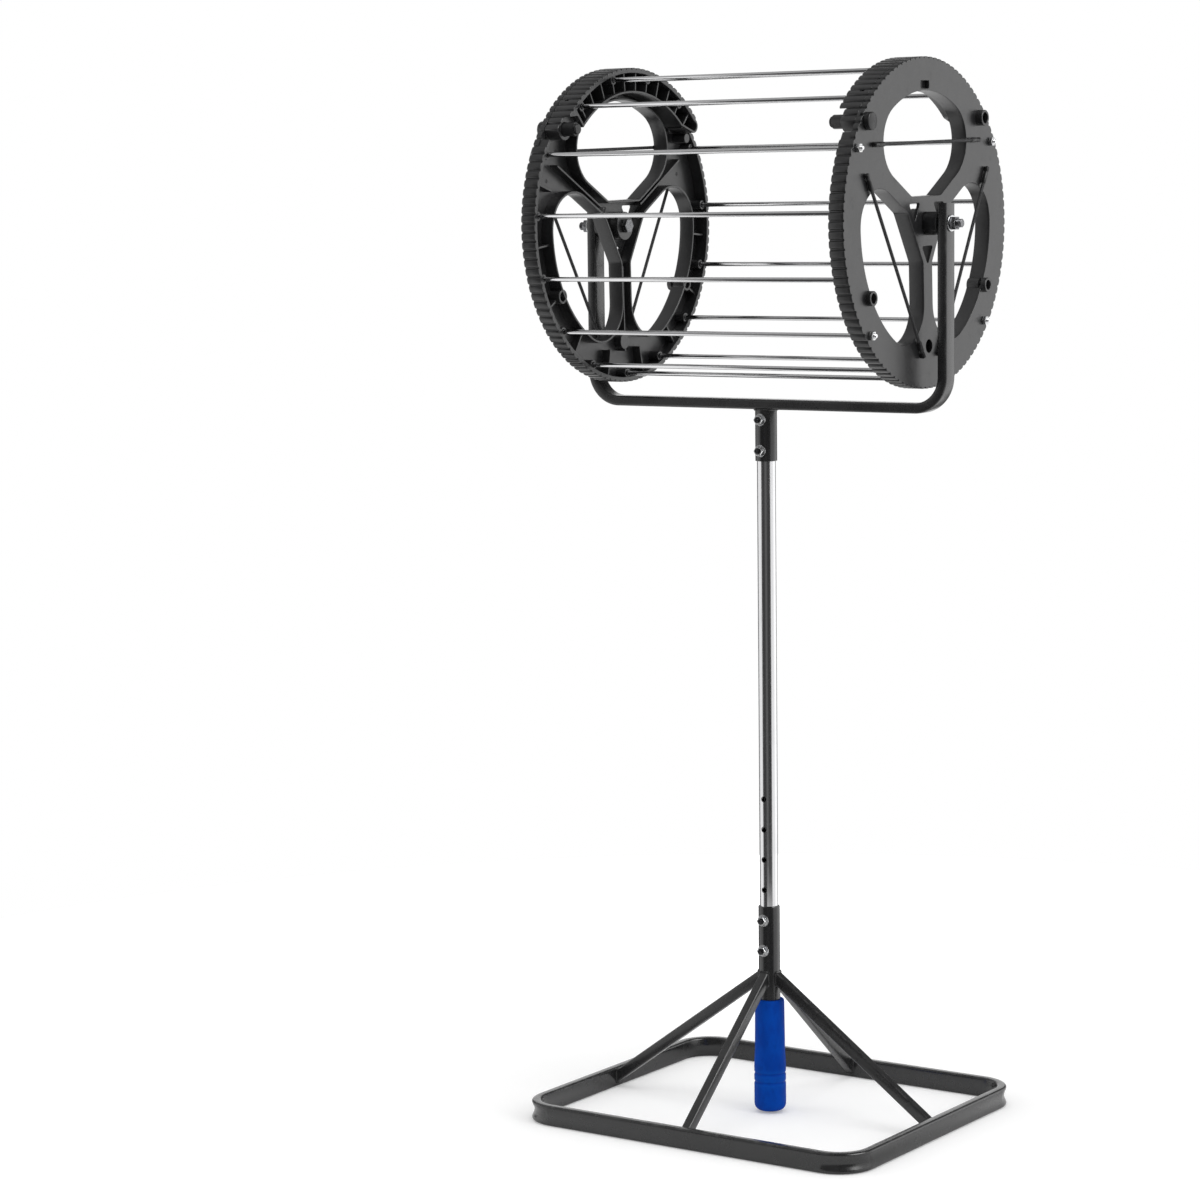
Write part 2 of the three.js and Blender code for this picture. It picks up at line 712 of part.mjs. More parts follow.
// A cord across a window: a line with a ferrule and a peg at each end, in front of the face
function windowCord(window) {
  const [from, to] = cordEnds(window);
  const length = from.distanceTo(to);
  const front = -cordFerruleRadius - fitGap;
  const along = (radius, start, end) => {
    const piece = shaft(radius, start, end, cordSides).rotateY(Math.PI / 2);
    return solidFrom(piece.translate(0, 0, front));
  };
  const half = length / 2;
  const pieces = [along(cordRadius, -half, half)];
  for (const side of [-1, 1]) {
    const ends = [side * (half + cordRadius), side * (half - cordFerruleLength)];
    pieces.push(along(cordFerruleRadius, Math.min(...ends), Math.max(...ends)));
    const peg = shaft(cordRadius, front, faceThickness, cordSides).translate(side * half, 0, 0);
    pieces.push(solidFrom(peg));
  }
  const middle = from.clone().add(to).multiplyScalar(1 / 2);
  return geometryFrom(joined(pieces))
    .rotateZ(toRadians(window))
    .translate(middle.x, middle.y, 0);
}

// Assembly
const hopper = new THREE.Group();
const stand = new THREE.Group();
const axle = new THREE.Group();
const drum = new THREE.Group();
const door = new THREE.Group();
hopper.add(stand, axle, drum, door);
axle.position.z = axleHeight;
for (const turning of [drum, door]) {
  turning.position.z = axleHeight;
  turning.rotation.x = toRadians(drumTurn);
}

function addPart(group, name, shape, finish) {
  const geometry = shape.isBufferGeometry ? shape : geometryFrom(shape);
  const mesh = new THREE.Mesh(geometry, finish);
  mesh.name = name;
  group.add(mesh);
  return mesh;
}

// Stand
addPart(stand, 'base_ring', baseRing(), blackPaint);
const legReach = {
  right: [0, ringLength], back: [90, ringWidth], left: [180, ringLength], front: [270, ringWidth],
};
for (const [side, [angle, across]] of Object.entries(legReach)) {
  const part = addPart(stand, `leg_${side}`, leg(across / 2 - ringThickness), blackPaint);
  part.rotation.z = toRadians(angle);
}
addPart(stand, 'base_sleeve',
  columnTube(sleeveRadius, sleeveBore, sleeveFoot, sleeveTop, baseBoltHeights), blackPaint);
const poleFoot = lowBoltHeight - poleBelowBolt;
addPart(stand, 'pole',
  columnTube(poleRadius, poleRadius - poleWall, poleFoot, socketTop, poleHoleHeights), steel);
addPart(stand, 'yoke_socket',
  columnTube(sleeveRadius, sleeveBore, socketTop - socketHeight, socketTop, socketBoltHeights), blackPaint);
addPart(stand, 'grip', grip(), blueRubber);
addPart(stand, 'yoke', yoke(), blackPaint);

// Cross bolts of the sleeve and the socket: heads at the back, nuts at the front
const boltSeat = sleeveRadius + fitGap;
for (const [place, heights] of [['base', baseBoltHeights], ['socket', socketBoltHeights]]) {
  heights.forEach((height, index) => {
    const level = index === 0 ? 'lower' : 'upper';
    const length = 2 * boltSeat + crossWasherThickness + crossNutHeight + crossBoltProjection;
    const bolt = addPart(stand, `${place}_bolt_${level}`,
      headedBolt(crossHeadRadius, crossHeadHeight, boltSides, crossBoltRadius, length), darkSteel);
    bolt.rotation.x = Math.PI / 2;
    bolt.position.set(0, boltSeat, height);
    const nut = addPart(stand, `${place}_nut_${level}`,
      washeredNut(crossNutRadius, crossNutHeight, crossWasherRadius, crossWasherThickness,
        crossBoltRadius + fitGap), steel);
    nut.rotation.x = Math.PI / 2;
    nut.position.set(0, -boltSeat, height);
  });
}

// Everything at a drum end is drawn in the wheel's plane: its x is the drum's Y, its y is up,
// and its depth runs in from the outer face along X. The drum and its door rest a little turned.
const endBasis = new THREE.Matrix4().makeBasis(
  new THREE.Vector3(0, 1, 0), new THREE.Vector3(0, 0, 1), new THREE.Vector3(1, 0, 0));
const sides = { left: -1, right: 1 };

function addEndPart(group, name, shape, finish, side) {
  const local = shape.isBufferGeometry ? shape : geometryFrom(shape);
  const part = addPart(group, name, side > 0 ? mirroredInDepth(local) : local, finish);
  part.quaternion.setFromRotationMatrix(endBasis);
  part.position.x = (side * drumLength) / 2;
  return part;
}

// Axle: spacer between wheel and yoke, bolt from inside, washer and nut outside
const yokeOuter = spacerLength + yokeThickness;
const boltHeadSeat = rimDepth + fitGap;
const wheelGeometry = geometryFrom(wheelShell());
const doorGeometry = geometryFrom(doorEnd());

function axleParts(name, side) {
  const nutSeat = yokeOuter + fitGap + axleWasherThickness + fitGap;
  const bolt = headedBolt(axleHeadRadius, axleHeadHeight, hexSides, axleBoltRadius,
    boltHeadSeat + nutSeat + axleNutHeight + axleBoltProjection);
  const boltGeometry = geometryFrom(bolt).rotateX(Math.PI).translate(0, 0, boltHeadSeat);
  addEndPart(axle, `axle_bolt_${name}`, boltGeometry, darkSteel, side);
  addEndPart(axle, `hub_spacer_${name}`,
    tube(origin, spacerRadius, hubBore, hubSides, fitGap - spacerLength, -fitGap), darkPlastic, side);
  const washerFront = -yokeOuter - fitGap;
  addEndPart(axle, `axle_washer_${name}`,
    tube(origin, axleWasherRadius, hubBore, boltSides, washerFront - axleWasherThickness, washerFront),
    steel, side);
  const nut = disc(origin, axleNutRadius, hexSides, -nutSeat - axleNutHeight, -nutSeat)
    .subtract(disc(origin, hubBore, boltSides, -nutSeat - axleNutHeight - cutOverrun, 0));
  addEndPart(axle, `axle_nut_${name}`, nut, darkSteel, side);
}

function hingePin() {
  const head = disc(hingeCentre, hingeHeadRadius, hingeSides, -hingeHeadHeight - fitGap, -fitGap);
  const pin = disc(hingeCentre, hingePinRadius, hingeSides, -hingeHeadHeight, hingePinDepth - hingePinTip);
  const tip = disc(hingeCentre, hingePinTipRadius, hingeSides, 0, hingePinDepth);
  return joined([head, pin, tip]);
}

for (const [name, side] of Object.entries(sides)) {
  addEndPart(drum, `wheel_${name}`, wheelGeometry, blackPlastic, side);
  axleParts(name, side);
  addEndPart(drum, `hinge_pin_${name}`, hingePin(), darkPlastic, side);
  addEndPart(door, `door_end_${name}`, doorGeometry, blackPlastic, side);
  windowAngles.forEach((window, index) => {
    addEndPart(drum, `window_cord_${name}_${index + 1}`, windowCord(window), darkPlastic, side);
  });
}

// Rods. The sprung rods and the door's rods sit in blind seats; the four tie rods run right
// through the wheels, with a head outside the left one and a nut outside the right one.
function placeRod(part, index) {
  const centre = polar(rodCircle, rodAngle(index));
  part.rotation.y = Math.PI / 2;
  part.position.set(0, centre.x, centre.y);
}

const springHalf = drumLength / 2 - rodSeatDepth - fitGap;
springRods.forEach((index, order) => {
  const rod = shaft(rodRadius, -springHalf, springHalf, rodSides);
  placeRod(addPart(drum, `rod_${order + 1}`, rod, steel), index);
});

const doorRodHalf = drumLength / 2 - doorRodSeat - fitGap;
doorRodIndices.forEach((index, order) => {
  const rod = shaft(rodRadius, -doorRodHalf, doorRodHalf, rodSides);
  placeRod(addPart(door, `door_rod_${order + 1}`, rod, steel), index);
});

const tieSeat = drumLength / 2 + fitGap;
tieRodIndices.forEach((index, order) => {
  const length = 2 * tieSeat + tieNutHeight + tieProjection;
  const tie = headedBolt(tieNutRadius, tieNutHeight, hexSides, rodRadius, length);
  const rod = addPart(drum, `tie_rod_${order + 1}`, geometryFrom(tie).translate(0, 0, -tieSeat), steel);
  placeRod(rod, index);
  const nut = shaftSolid(tieNutRadius, tieSeat, tieSeat + tieNutHeight, hexSides)
    .subtract(shaftSolid(rodBore, 0, tieSeat + tieNutHeight + cutOverrun, rodSides));
  placeRod(addPart(drum, `tie_nut_${order + 1}`, nut, steel), index);
});

export default hopper;
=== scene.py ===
import math
import bpy
from mathutils import Matrix, Vector
from mathutils.geometry import tessellate_polygon


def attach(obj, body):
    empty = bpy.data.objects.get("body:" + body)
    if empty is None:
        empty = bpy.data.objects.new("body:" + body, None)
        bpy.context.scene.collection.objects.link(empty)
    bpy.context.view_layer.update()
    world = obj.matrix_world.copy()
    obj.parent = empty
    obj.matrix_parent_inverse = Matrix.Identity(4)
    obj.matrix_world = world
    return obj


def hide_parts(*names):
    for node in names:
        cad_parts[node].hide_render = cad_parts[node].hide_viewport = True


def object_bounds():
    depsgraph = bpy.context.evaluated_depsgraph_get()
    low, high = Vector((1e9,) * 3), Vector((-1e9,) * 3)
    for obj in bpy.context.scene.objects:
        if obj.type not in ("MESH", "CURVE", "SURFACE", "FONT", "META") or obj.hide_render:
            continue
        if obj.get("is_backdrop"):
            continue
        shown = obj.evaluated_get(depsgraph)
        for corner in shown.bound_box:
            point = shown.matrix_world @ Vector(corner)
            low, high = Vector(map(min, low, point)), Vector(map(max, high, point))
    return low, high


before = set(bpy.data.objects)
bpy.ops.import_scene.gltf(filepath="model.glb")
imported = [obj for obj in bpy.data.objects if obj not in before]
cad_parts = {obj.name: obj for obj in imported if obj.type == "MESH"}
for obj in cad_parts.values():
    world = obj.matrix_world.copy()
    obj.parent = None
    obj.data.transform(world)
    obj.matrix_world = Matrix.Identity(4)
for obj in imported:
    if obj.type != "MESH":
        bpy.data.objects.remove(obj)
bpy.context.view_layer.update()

# Sizes in millimetres and degrees, the same as the frame's
MM = 0.001
FIT = 0.3
AXLE_Z, AXLE_BORE, HUB_R = 878.0, 4.3, 14.0
DRUM_HALF = 179.0
DRUM_TURN = math.radians(1.8)
TOOTH_TIP, TOOTH_ROOT, TEETH = 155.0, 153.4, 112
RIM_INNER, RIM_DEPTH, RIM_DOOR_DEPTH, FACE = 150.0, 16.0, 6.0, 3.0
ROD_R, ROD_CIRCLE, ROD_BORE, BOSS_R, BOSS_DEPTH = 2.3, 146.5, 2.6, 4.8, 14.0
ROD_COUNT, ROD_FIRST, ROD_PITCH = 15, 6, 24
DOOR_RODS, TIE_RODS = (2, 3, 4, 5), (1, 6, 9, 13)
SPRUNG_RODS = [i for i in range(ROD_COUNT) if i not in DOOR_RODS + TIE_RODS]
WINDOW_ANGLES, SPOKE_ANGLE, SPOKE_HALF = (0, 120, 240), 30, 8.5
WINDOW_OUTER, WINDOW_SHOULDER, WINDOW_CORNER, WINDOW_FLOOR = 123.5, 36.0, 8.0, 25.5
FLANGE, RIB, RIB_DEPTH, RIB_FOOT = 2.2, 2.0, 12.0, 40.0
HUB_HOLE_APEX, HUB_HOLE_BASE, HUB_HOLE_HALF = 38.5, 21.0, 10.5
HINGE_ANGLE, HINGE_CIRCLE, HINGE_BORE, KNUCKLE_R = 138.0, 145.0, 6.9, 10.5
CATCH_ANGLE, CATCH_CIRCLE, CATCH_R, CATCH_BORE = 42.5, 142.5, 7.5, 5.2
STUB_ANGLES, STUB_CIRCLE, STUB_R, STUB_BORE = (210, 330), 127.5, 7.0, 4.6
SLOT_HALF, SLOT_CIRCLE, SLOT_FLOOR, POCKET_WALL = (8.0, 3.7), 128.9, 4.7, 1.3
INDEX_CIRCLE, INDEX_R, INDEX_FLOOR = 115.0, 6.2, 10.4
CORD_CIRCLE, CORD_HALF_ANGLE, CORD_R, CORD_HOLE_R, CORD_OUT = 124.5, 52.6, 1.6, 1.9, 2.6
DOOR_FACE, DOOR_BACK, DOOR_DEPTH, DOOR_INNER = 6.4, 8.8, 29.0, 130.5
DOOR_TIP_ANGLE, DOOR_TIP_R, DOOR_WALL, DOOR_BEND = 41.0, 7.0, 2.2, 48.0
DOOR_HOLLOW_END, DOOR_INNER_END, DOOR_OUTER_END = 130.0, 131.0, 136.5
DOOR_RIB, DOOR_RIB_ANGLES = 1.8, range(46, 119, 8)
ROD_SEAT, PORT_WIDTH, KNUCKLE_DEPTH = 12.0, 4.4, 22.0
DOOR_RIB_INNER, DOOR_RIB_OUTER, DOOR_TIP_START = DOOR_INNER + 1.1, RIM_INNER + 1.7, -105.0
KNUCKLE_END, RIM_RIB_INNER, RIM_RIB_OUTER = 141.5, 124.6, 151.7
POST_CIRCLE, POST_ANGLE, POST_R, POST_DEPTH = 141.0, 36.5, 5.0, 18.0
CATCH_OUT, STUB_OUT = -7.0, -5.0
ROD_HALF, DOOR_ROD_HALF, TIE_NUT_R, TIE_NUT_LOW, TIE_NUT_HIGH = 174.7, 166.7, 4.6, 179.3, 182.9
RIM_START = HINGE_ANGLE + math.degrees(18.0 / HINGE_CIRCLE)
RIM_END = DOOR_TIP_ANGLE - math.degrees(DOOR_TIP_R / (TOOTH_ROOT - DOOR_TIP_R) + 2.0 / TOOTH_TIP)
SLEEVE_R, SLEEVE_BORE, SLEEVE_FOOT, SLEEVE_TOP, SOCKET_LENGTH = 10.7, 9.5, 32.0, 208.0, 50.0
POLE_R, POLE_BORE, POLE_FOOT, POLE_HOLE_R, POLE_HOLES = 9.2, 7.8, 146.0, 2.9, 6
YOKE_TOP, YOKE_BAR_TOP, YOKE_T, YOKE_W, YOKE_BEND = 897.0, 709.5, 10.0, 18.0, 30.0
SOCKET_TOP = YOKE_BAR_TOP - YOKE_T - FIT
BOLT_PITCH, BOLT_FACE = 30.3, 11.0
BASE_BOLTS = (164.3, 164.3 + BOLT_PITCH)
SOCKET_BOLTS = (SOCKET_TOP - 9.5 - BOLT_PITCH, SOCKET_TOP - 9.5)
RING_X, RING_Y, RING_H, RING_T, RING_CORNER = 384.0, 331.0, 20.0, 9.6, 38.0
LEG_W, LEG_D, LEG_TOP, LEG_FOOT, LEG_EDGE = 9.0, 11.0, 135.0, 11.0, 1.7
ORIGIN = (0.0, 0.0)


# Points, faces, which faces are flat, a mark on each point for wear and painted highlight, and each
# face's UVs
class Shape:
    def __init__(self):
        self.points, self.wear, self.faces, self.flat, self.uvs = [], [], [], [], []

    def add(self, points, faces, flat, wear=None, uvs=None):
        base = len(self.points)
        self.points += [Vector(p) for p in points]
        self.wear += wear or [0.0] * len(points)
        self.faces += [tuple(base + i for i in f) for f in faces]
        self.flat += flat
        self.uvs += uvs or [tuple(ORIGIN for _ in f) for f in faces]
        return self

    def join(self, *others):
        for o in others:
            self.add(o.points, o.faces, o.flat, o.wear, o.uvs)
        return self

    def flipped(self):
        self.faces = [f[::-1] for f in self.faces]
        self.uvs = [u[::-1] for u in self.uvs]
        return self

    def moved(self, matrix):
        points = [matrix @ p for p in self.points]
        out = Shape().add(points, self.faces, list(self.flat), list(self.wear), list(self.uvs))
        return out.flipped() if matrix.to_3x3().determinant() < 0 else out


def polar(radius, angle):
    a = math.radians(angle)
    return (radius * math.cos(a), radius * math.sin(a))


def arc(centre, radius, start, end, steps):
    out = []
    for i in range(steps + 1):
        x, y = polar(radius, start + (end - start) * i / steps)
        out.append((centre[0] + x, centre[1] + y))
    return out


def circle(centre, radius, sides):
    return arc(centre, radius, 0, 360, sides)[:-1]


def turned(points, angle):
    c, s = math.cos(math.radians(angle)), math.sin(math.radians(angle))
    return [(x * c - y * s, x * s + y * c) for x, y in points]


def area(loop):
    return sum(a[0] * b[1] - b[0] * a[1] for a, b in zip(loop, loop[1:] + loop[:1])) / 2


# Each point of a closed line with the one before it and the one after it
def corners_of(loop):
    return zip(loop[-1:] + loop[:-1], loop, loop[1:] + loop[:1])


def inset(loop, distance):
    out = []
    for before, here, after in corners_of(loop):
        u = Vector((here[0] - before[0], here[1] - before[1])).normalized()
        v = Vector((after[0] - here[0], after[1] - here[1])).normalized()
        m, n = Vector((-u.y, u.x)), Vector((-v.y, v.x))
        shift = (m + n) / max(1 + m.dot(n), 0.35) * distance
        out.append((here[0] + shift.x, here[1] + shift.y))
    return out


# The levels of a slab's rounded edge, from its face inwards: how far in, how deep, and the mark for
# wear and painted edge highlight
def edge_levels(edge, depth, inward, steps):
    if not edge:
        return [(0.0, depth, 0.0)]
    out = []
    for k in range(steps + 1):
        a = math.pi / 2 * k / steps
        drop = edge * (1 - math.cos(a))
        out.append((edge * (1 - math.sin(a)), depth + inward * drop, float(0 < k < steps)))
    return out


# An outline with holes, extruded in depth, with rounded edges at either end
def slab(outline, holes, low, high, edge_low=0.0, edge_high=0.0, steps=3):
    loops = [list(outline) if area(outline) > 0 else list(reversed(outline))]
    loops += [list(h) if area(h) < 0 else list(reversed(h)) for h in holes]
    levels = edge_levels(edge_low, low, 1, steps) + edge_levels(edge_high, high, -1, steps)[::-1]
    shape = Shape()
    caps = {0: [], len(levels) - 1: []}
    for loop in loops:
        count = len(loop)
        points, wear, faces = [], [], []
        for k, (shrink, depth, worn_and_highlit) in enumerate(levels):
            ring = inset(loop, shrink) if shrink else loop
            points += [(x, y, depth) for x, y in ring]
            wear += [worn_and_highlit] * count
            if k in caps:
                caps[k].append([Vector((x, y, depth)) for x, y in ring])
        for k in range(0, count * (len(levels) - 1), count):
            for i in range(count):
                j = (i + 1) % count
                faces.append((k + i, k + j, k + count + j, k + count + i))
        shape.add(points, faces, [False] * len(faces), wear)
    for k, rings in caps.items():
        flatlist = [p for ring in rings for p in ring]
        faces = []
        for a, b, c in tessellate_polygon(rings):
            pa, pb, pc = flatlist[a], flatlist[b], flatlist[c]
            turn = (pb.x - pa.x) * (pc.y - pa.y) - (pb.y - pa.y) * (pc.x - pa.x)
            if abs(turn) >= 1e-9:
                faces.append((a, b, c) if (turn > 0) == (k > 0) else (a, c, b))
        shape.add(flatlist, faces, [True] * len(faces))
    return shape


def tube(centre, outer, inner, low, high, edge_low=0.0, edge_high=0.0, sides=40):
    hole = circle(centre, inner, sides)
    return slab(circle(centre, outer, sides), [hole], low, high, edge_low, edge_high)


def disc(centre, outer, low, high, edge_low=0.0, edge_high=0.0, sides=40):
    return slab(circle(centre, outer, sides), [], low, high, edge_low, edge_high)


def bar(angle, inner, outer, thickness, low, high):
    h = thickness / 2
    outline = turned([(inner, -h), (outer, -h), (outer, h), (inner, h)], angle)
    return slab(outline, [], low, high, 0.0, 0.4)


# A turned shape about Z. The profile runs from low to high and closes on itself or on the axis,
# and its points marked for wear and painted highlight are given by number.
def lathe(profile, sides, closed=False, centre=ORIGIN, worn_and_highlit=()):
    points, faces, uvs = [], [], []
    count = len(profile)
    run = [0.0]
    for a, b in zip(profile, profile[1:] + profile[:1]):
        run.append(run[-1] + math.hypot(b[0] - a[0], b[1] - a[1]))
    for r, z in profile:
        for i in range(sides):
            a = 2 * math.pi * i / sides
            points.append((centre[0] + r * math.cos(a), centre[1] + r * math.sin(a), z))
    for k in range(count if closed else count - 1):
        n = (k + 1) % count
        for i in range(sides):
            j = (i + 1) % sides
            quad = [k * sides + i, k * sides + j, n * sides + j, n * sides + i]
            here, after = i / sides, (i + 1) / sides
            uv = [(here, run[k]), (after, run[k]), (after, run[k + 1]), (here, run[k + 1])]
            if profile[k][0] < 1e-6:
                quad, uv = quad[1:], uv[1:]
            elif profile[n][0] < 1e-6:
                quad, uv = quad[:3], uv[:3]
            faces.append(tuple(quad))
            uvs.append(tuple(uv))
    wear = [float(k in worn_and_highlit) for k in range(count) for _ in range(sides)]
    return Shape().add(points, faces, [False] * len(faces), wear, uvs)


# Rings of points joined in order, as a closed loop or with both ends capped
def loft(rings, is_loop, wear=None):
    count = len(rings[0])
    faces = []
    for r in range(len(rings) if is_loop else len(rings) - 1):
        n = (r + 1) % len(rings)
        for i in range(count):
            j = (i + 1) % count
            faces.append((r * count + i, n * count + i, n * count + j, r * count + j))
    flat = [False] * len(faces)
    if not is_loop:
        end = (len(rings) - 1) * count
        faces += [tuple(range(count)), tuple(end + i for i in reversed(range(count)))]
        flat += [True, True]
    return Shape().add([p for ring in rings for p in ring], faces, flat, wear)


# A bead laid along a closed line, slightly uneven as a weld is
def bead(line, radius, ripple=0.16, sides=10):
    rings = []
    for i, (before, here, after) in enumerate(corners_of([Vector(p) for p in line])):
        along = (after - before).normalized()
        is_upright = abs(along.z) > 0.9
        side = (along.orthogonal() if is_upright else along.cross(Vector((0, 0, 1)))).normalized()
        up = side.cross(along)
        size = radius * (1 + ripple * math.sin(i * 2.399963) + ripple / 2 * math.sin(i * 1.1))
        turns = [2 * math.pi * k / sides for k in range(sides)]
        rings.append([here + (side * math.cos(a) + up * math.sin(a)) * size for a in turns])
    return loft(rings, True)


def rounded_rectangle(half_u, half_v, radius, steps=5):
    out = []
    u, v = half_u - radius, half_v - radius
    for x, y, start in ((u, v, 0), (-u, v, 90), (-u, -v, 180), (u, -v, 270)):
        out += arc((x, y), radius, start, start + 90, steps)
    return out


def rounded_corners(points, radius, steps=4):
    out = []
    for before, here, after in corners_of([Vector(p) for p in points]):
        u, v = (before - here).normalized(), (after - here).normalized()
        half = u.angle(v) / 2
        middle = here + (u + v).normalized() * radius / math.sin(half)
        a, b = (here + w * radius / math.tan(half) - middle for w in (u, v))
        sweep = math.copysign(a.angle(b), a.x * b.y - a.y * b.x)
        first = math.atan2(a.y, a.x)
        for k in range(steps + 1):
            t = first + sweep * k / steps
            out.append((middle.x + radius * math.cos(t), middle.y + radius * math.sin(t)))
    return out


# Procedural finishes
class Tree:
    def __init__(self, tree):
        self.tree = tree

    def make(self, kind, **values):
        node = self.tree.nodes.new(kind)
        for key, value in values.items():
            setattr(node, key, value)
        return node

    # A value is linked when it is a socket, and set when it is a number or a vector
    def feed(self, value, socket):
        if isinstance(value, bpy.types.NodeSocket):
            self.tree.links.new(value, socket)
        else:
            socket.default_value = value

    def ramp(self, value, low, high, start=0.0, end=1.0):
        node = self.make("ShaderNodeMapRange", interpolation_type="SMOOTHSTEP")
        names = ("Value", "From Min", "From Max", "To Min", "To Max")
        for name, number in zip(names, (value, low, high, start, end)):
            self.feed(number, node.inputs[name])
        return node.outputs["Result"]

    def maths(self, operation, a, b=0.0):
        node = self.make("ShaderNodeMath", operation=operation)
        self.feed(a, node.inputs[0])
        self.feed(b, node.inputs[1])
        return node.outputs[0]

    def vector(self, operation, value, other=(0, 0, 0)):
        node = self.make("ShaderNodeVectorMath", operation=operation)
        self.feed(value, node.inputs[0])
        self.feed(other, node.inputs[1])
        return node.outputs["Value" if operation in ("LENGTH", "DOT_PRODUCT") else "Vector"]

    def light(self, kind, strength):
        node = self.make(kind)
        node.inputs["Color"].default_value = (1, 1, 1, 1)
        self.feed(strength, node.inputs["Strength"])
        return node.outputs[0]

    def mixed(self, factor, a, b):
        node = self.make("ShaderNodeMixShader")
        for value, socket in zip((factor, a, b), node.inputs):
            self.feed(value, socket)
        return node.outputs[0]


class Finish(Tree):
    def __init__(self, name, colour, roughness, metallic=0.0, **constants):
        self.material = bpy.data.materials.new(name)
        self.material.use_nodes = True
        super().__init__(self.material.node_tree)
        self.shader = self.tree.nodes["Principled BSDF"]
        self.shader.inputs["Base Color"].default_value = (*colour, 1)
        self.shader.inputs["Roughness"].default_value = roughness
        self.shader.inputs["Metallic"].default_value = metallic
        for key, value in constants.items():
            self.shader.inputs[key.replace("_", " ")].default_value = value
        self.place = self.make("ShaderNodeTexCoord").outputs["Object"]
        self.normal = None

    # Noise from 0 to 1, at a scale per metre in each direction
    def noise(self, scale, detail=3.0, rough=0.55, low=0.35, high=0.65):
        stretch = self.make("ShaderNodeMapping")
        self.feed(self.place, stretch.inputs["Vector"])
        stretch.inputs["Scale"].default_value = scale if isinstance(scale, tuple) else (scale,) * 3
        texture = self.make("ShaderNodeTexNoise")
        self.feed(stretch.outputs[0], texture.inputs["Vector"])
        for key, value in (("Scale", 1.0), ("Detail", detail), ("Roughness", rough)):
            texture.inputs[key].default_value = value
        return self.ramp(texture.outputs["Fac"], low, high)

    # Two patterns added, with a given share of the second
    def blend(self, a, b, share=0.5):
        rest = self.maths("MULTIPLY", a, 1 - share)
        return self.maths("ADD", rest, self.maths("MULTIPLY", b, share))

    # One colour over another, where a pattern times a strength lets it show
    def over(self, under, paint, pattern, strength=1.0):
        node = self.make("ShaderNodeMix", data_type="RGBA")
        self.feed(self.maths("MULTIPLY", pattern, strength), node.inputs["Factor"])
        for name, colour in (("A", under), ("B", paint)):
            self.feed((*colour, 1) if isinstance(colour, tuple) else colour, node.inputs[name])
        return node.outputs["Result"]

    def bump(self, height, distance):
        node = self.make("ShaderNodeBump")
        node.inputs["Distance"].default_value = distance
        self.feed(height, node.inputs["Height"])
        if self.normal:
            self.feed(self.normal, node.inputs["Normal"])
        self.normal = node.outputs["Normal"]
        return self

    def done(self, colour, roughness):
        self.feed(colour, self.shader.inputs["Base Color"])
        self.feed(roughness, self.shader.inputs["Roughness"])
        self.feed(self.normal, self.shader.inputs["Normal"])
        return self.material

    # The mark on rounded edges, read by the finishes for wear and for a painted edge highlight
    def worn_and_highlit(self):
        return self.make("ShaderNodeAttribute", attribute_name="wear").outputs["Fac"]


# Satin black powder coat: orange peel, a little dust, and edges lighter as wear and painted
# highlight
def powder_coat():
    n = Finish("powder_coat", (0.015, 0.015, 0.0155), 0.28, Coat_Weight=0.45, Coat_Roughness=0.16)
    cloud = n.noise(38, detail=4)
    dust = n.noise((160, 160, 110), detail=5, low=0.52, high=0.78)
    peel = n.noise(620, detail=2, low=0.2, high=0.8)
    fine = n.noise(2600, detail=2, low=0.2, high=0.8)
    rub_and_highlight_amount = n.maths("MULTIPLY", n.noise(90, low=0.45, high=0.7), 0.4)
    colour = n.over((0.0135, 0.0135, 0.014), (0.0175, 0.0175, 0.018), cloud)
    colour = n.over(colour, (0.055, 0.054, 0.052), dust, 0.08)
    # Marked edges painted lighter: partly rubbed wear, partly a painted edge highlight
    colour = n.over(colour, (0.08, 0.08, 0.08), n.worn_and_highlit(), rub_and_highlight_amount)
    n.bump(fine, 0.000006).bump(peel, 0.000025)
    return n.done(colour, n.ramp(n.blend(cloud, dust), 0, 1, 0.25, 0.34))


# Moulded black plastic of the wheels: fine spark-eroded grain, flow marks, and edges painted
# lighter, partly as scuffs and partly as a painted edge highlight
def wheel_plastic():
    n = Finish("wheel_plastic", (0.015, 0.015, 0.0157), 0.32, Specular_IOR_Level=0.72)
    flow = n.noise((14, 26, 26), detail=5, rough=0.6)
    scuff = n.noise((420, 90, 90), detail=6, rough=0.7, low=0.56, high=0.72)
    grain = n.noise(1700, detail=3, low=0.25, high=0.75)
    sink = n.noise(70, detail=1, low=0.2, high=0.8)
    colour = n.over((0.0115, 0.0115, 0.012), (0.0165, 0.0165, 0.0173), flow)
    colour = n.over(colour, (0.038, 0.038, 0.039), scuff, 0.3)
    # Marked edges painted lighter: partly scuffed wear, partly a painted edge highlight
    colour = n.over(colour, (0.052, 0.052, 0.053), n.worn_and_highlit(), n.noise(140, low=0.3, high=0.75))
    n.bump(grain, 0.000022).bump(sink, 0.00006)
    return n.done(colour, n.ramp(n.blend(grain, scuff, 0.6), 0, 1, 0.28, 0.46))


# Smooth black trim: pins and spacers
def trim_plastic():
    n = Finish("trim_plastic", (0.0095, 0.0095, 0.01), 0.34, Specular_IOR_Level=0.45)
    cloud = n.noise(120, detail=4)
    scratch = n.noise((900, 300, 300), detail=5, low=0.58, high=0.7)
    colour = n.over((0.007, 0.007, 0.0075), (0.012, 0.012, 0.0127), cloud)
    # Marked edges painted lighter: partly wear, partly a painted edge highlight
    colour = n.over(colour, (0.04, 0.04, 0.04), n.worn_and_highlit(), 0.5)
    n.bump(n.noise(1500, low=0.2, high=0.8), 0.000012)
    return n.done(colour, n.ramp(n.blend(cloud, scratch), 0, 1, 0.3, 0.5))


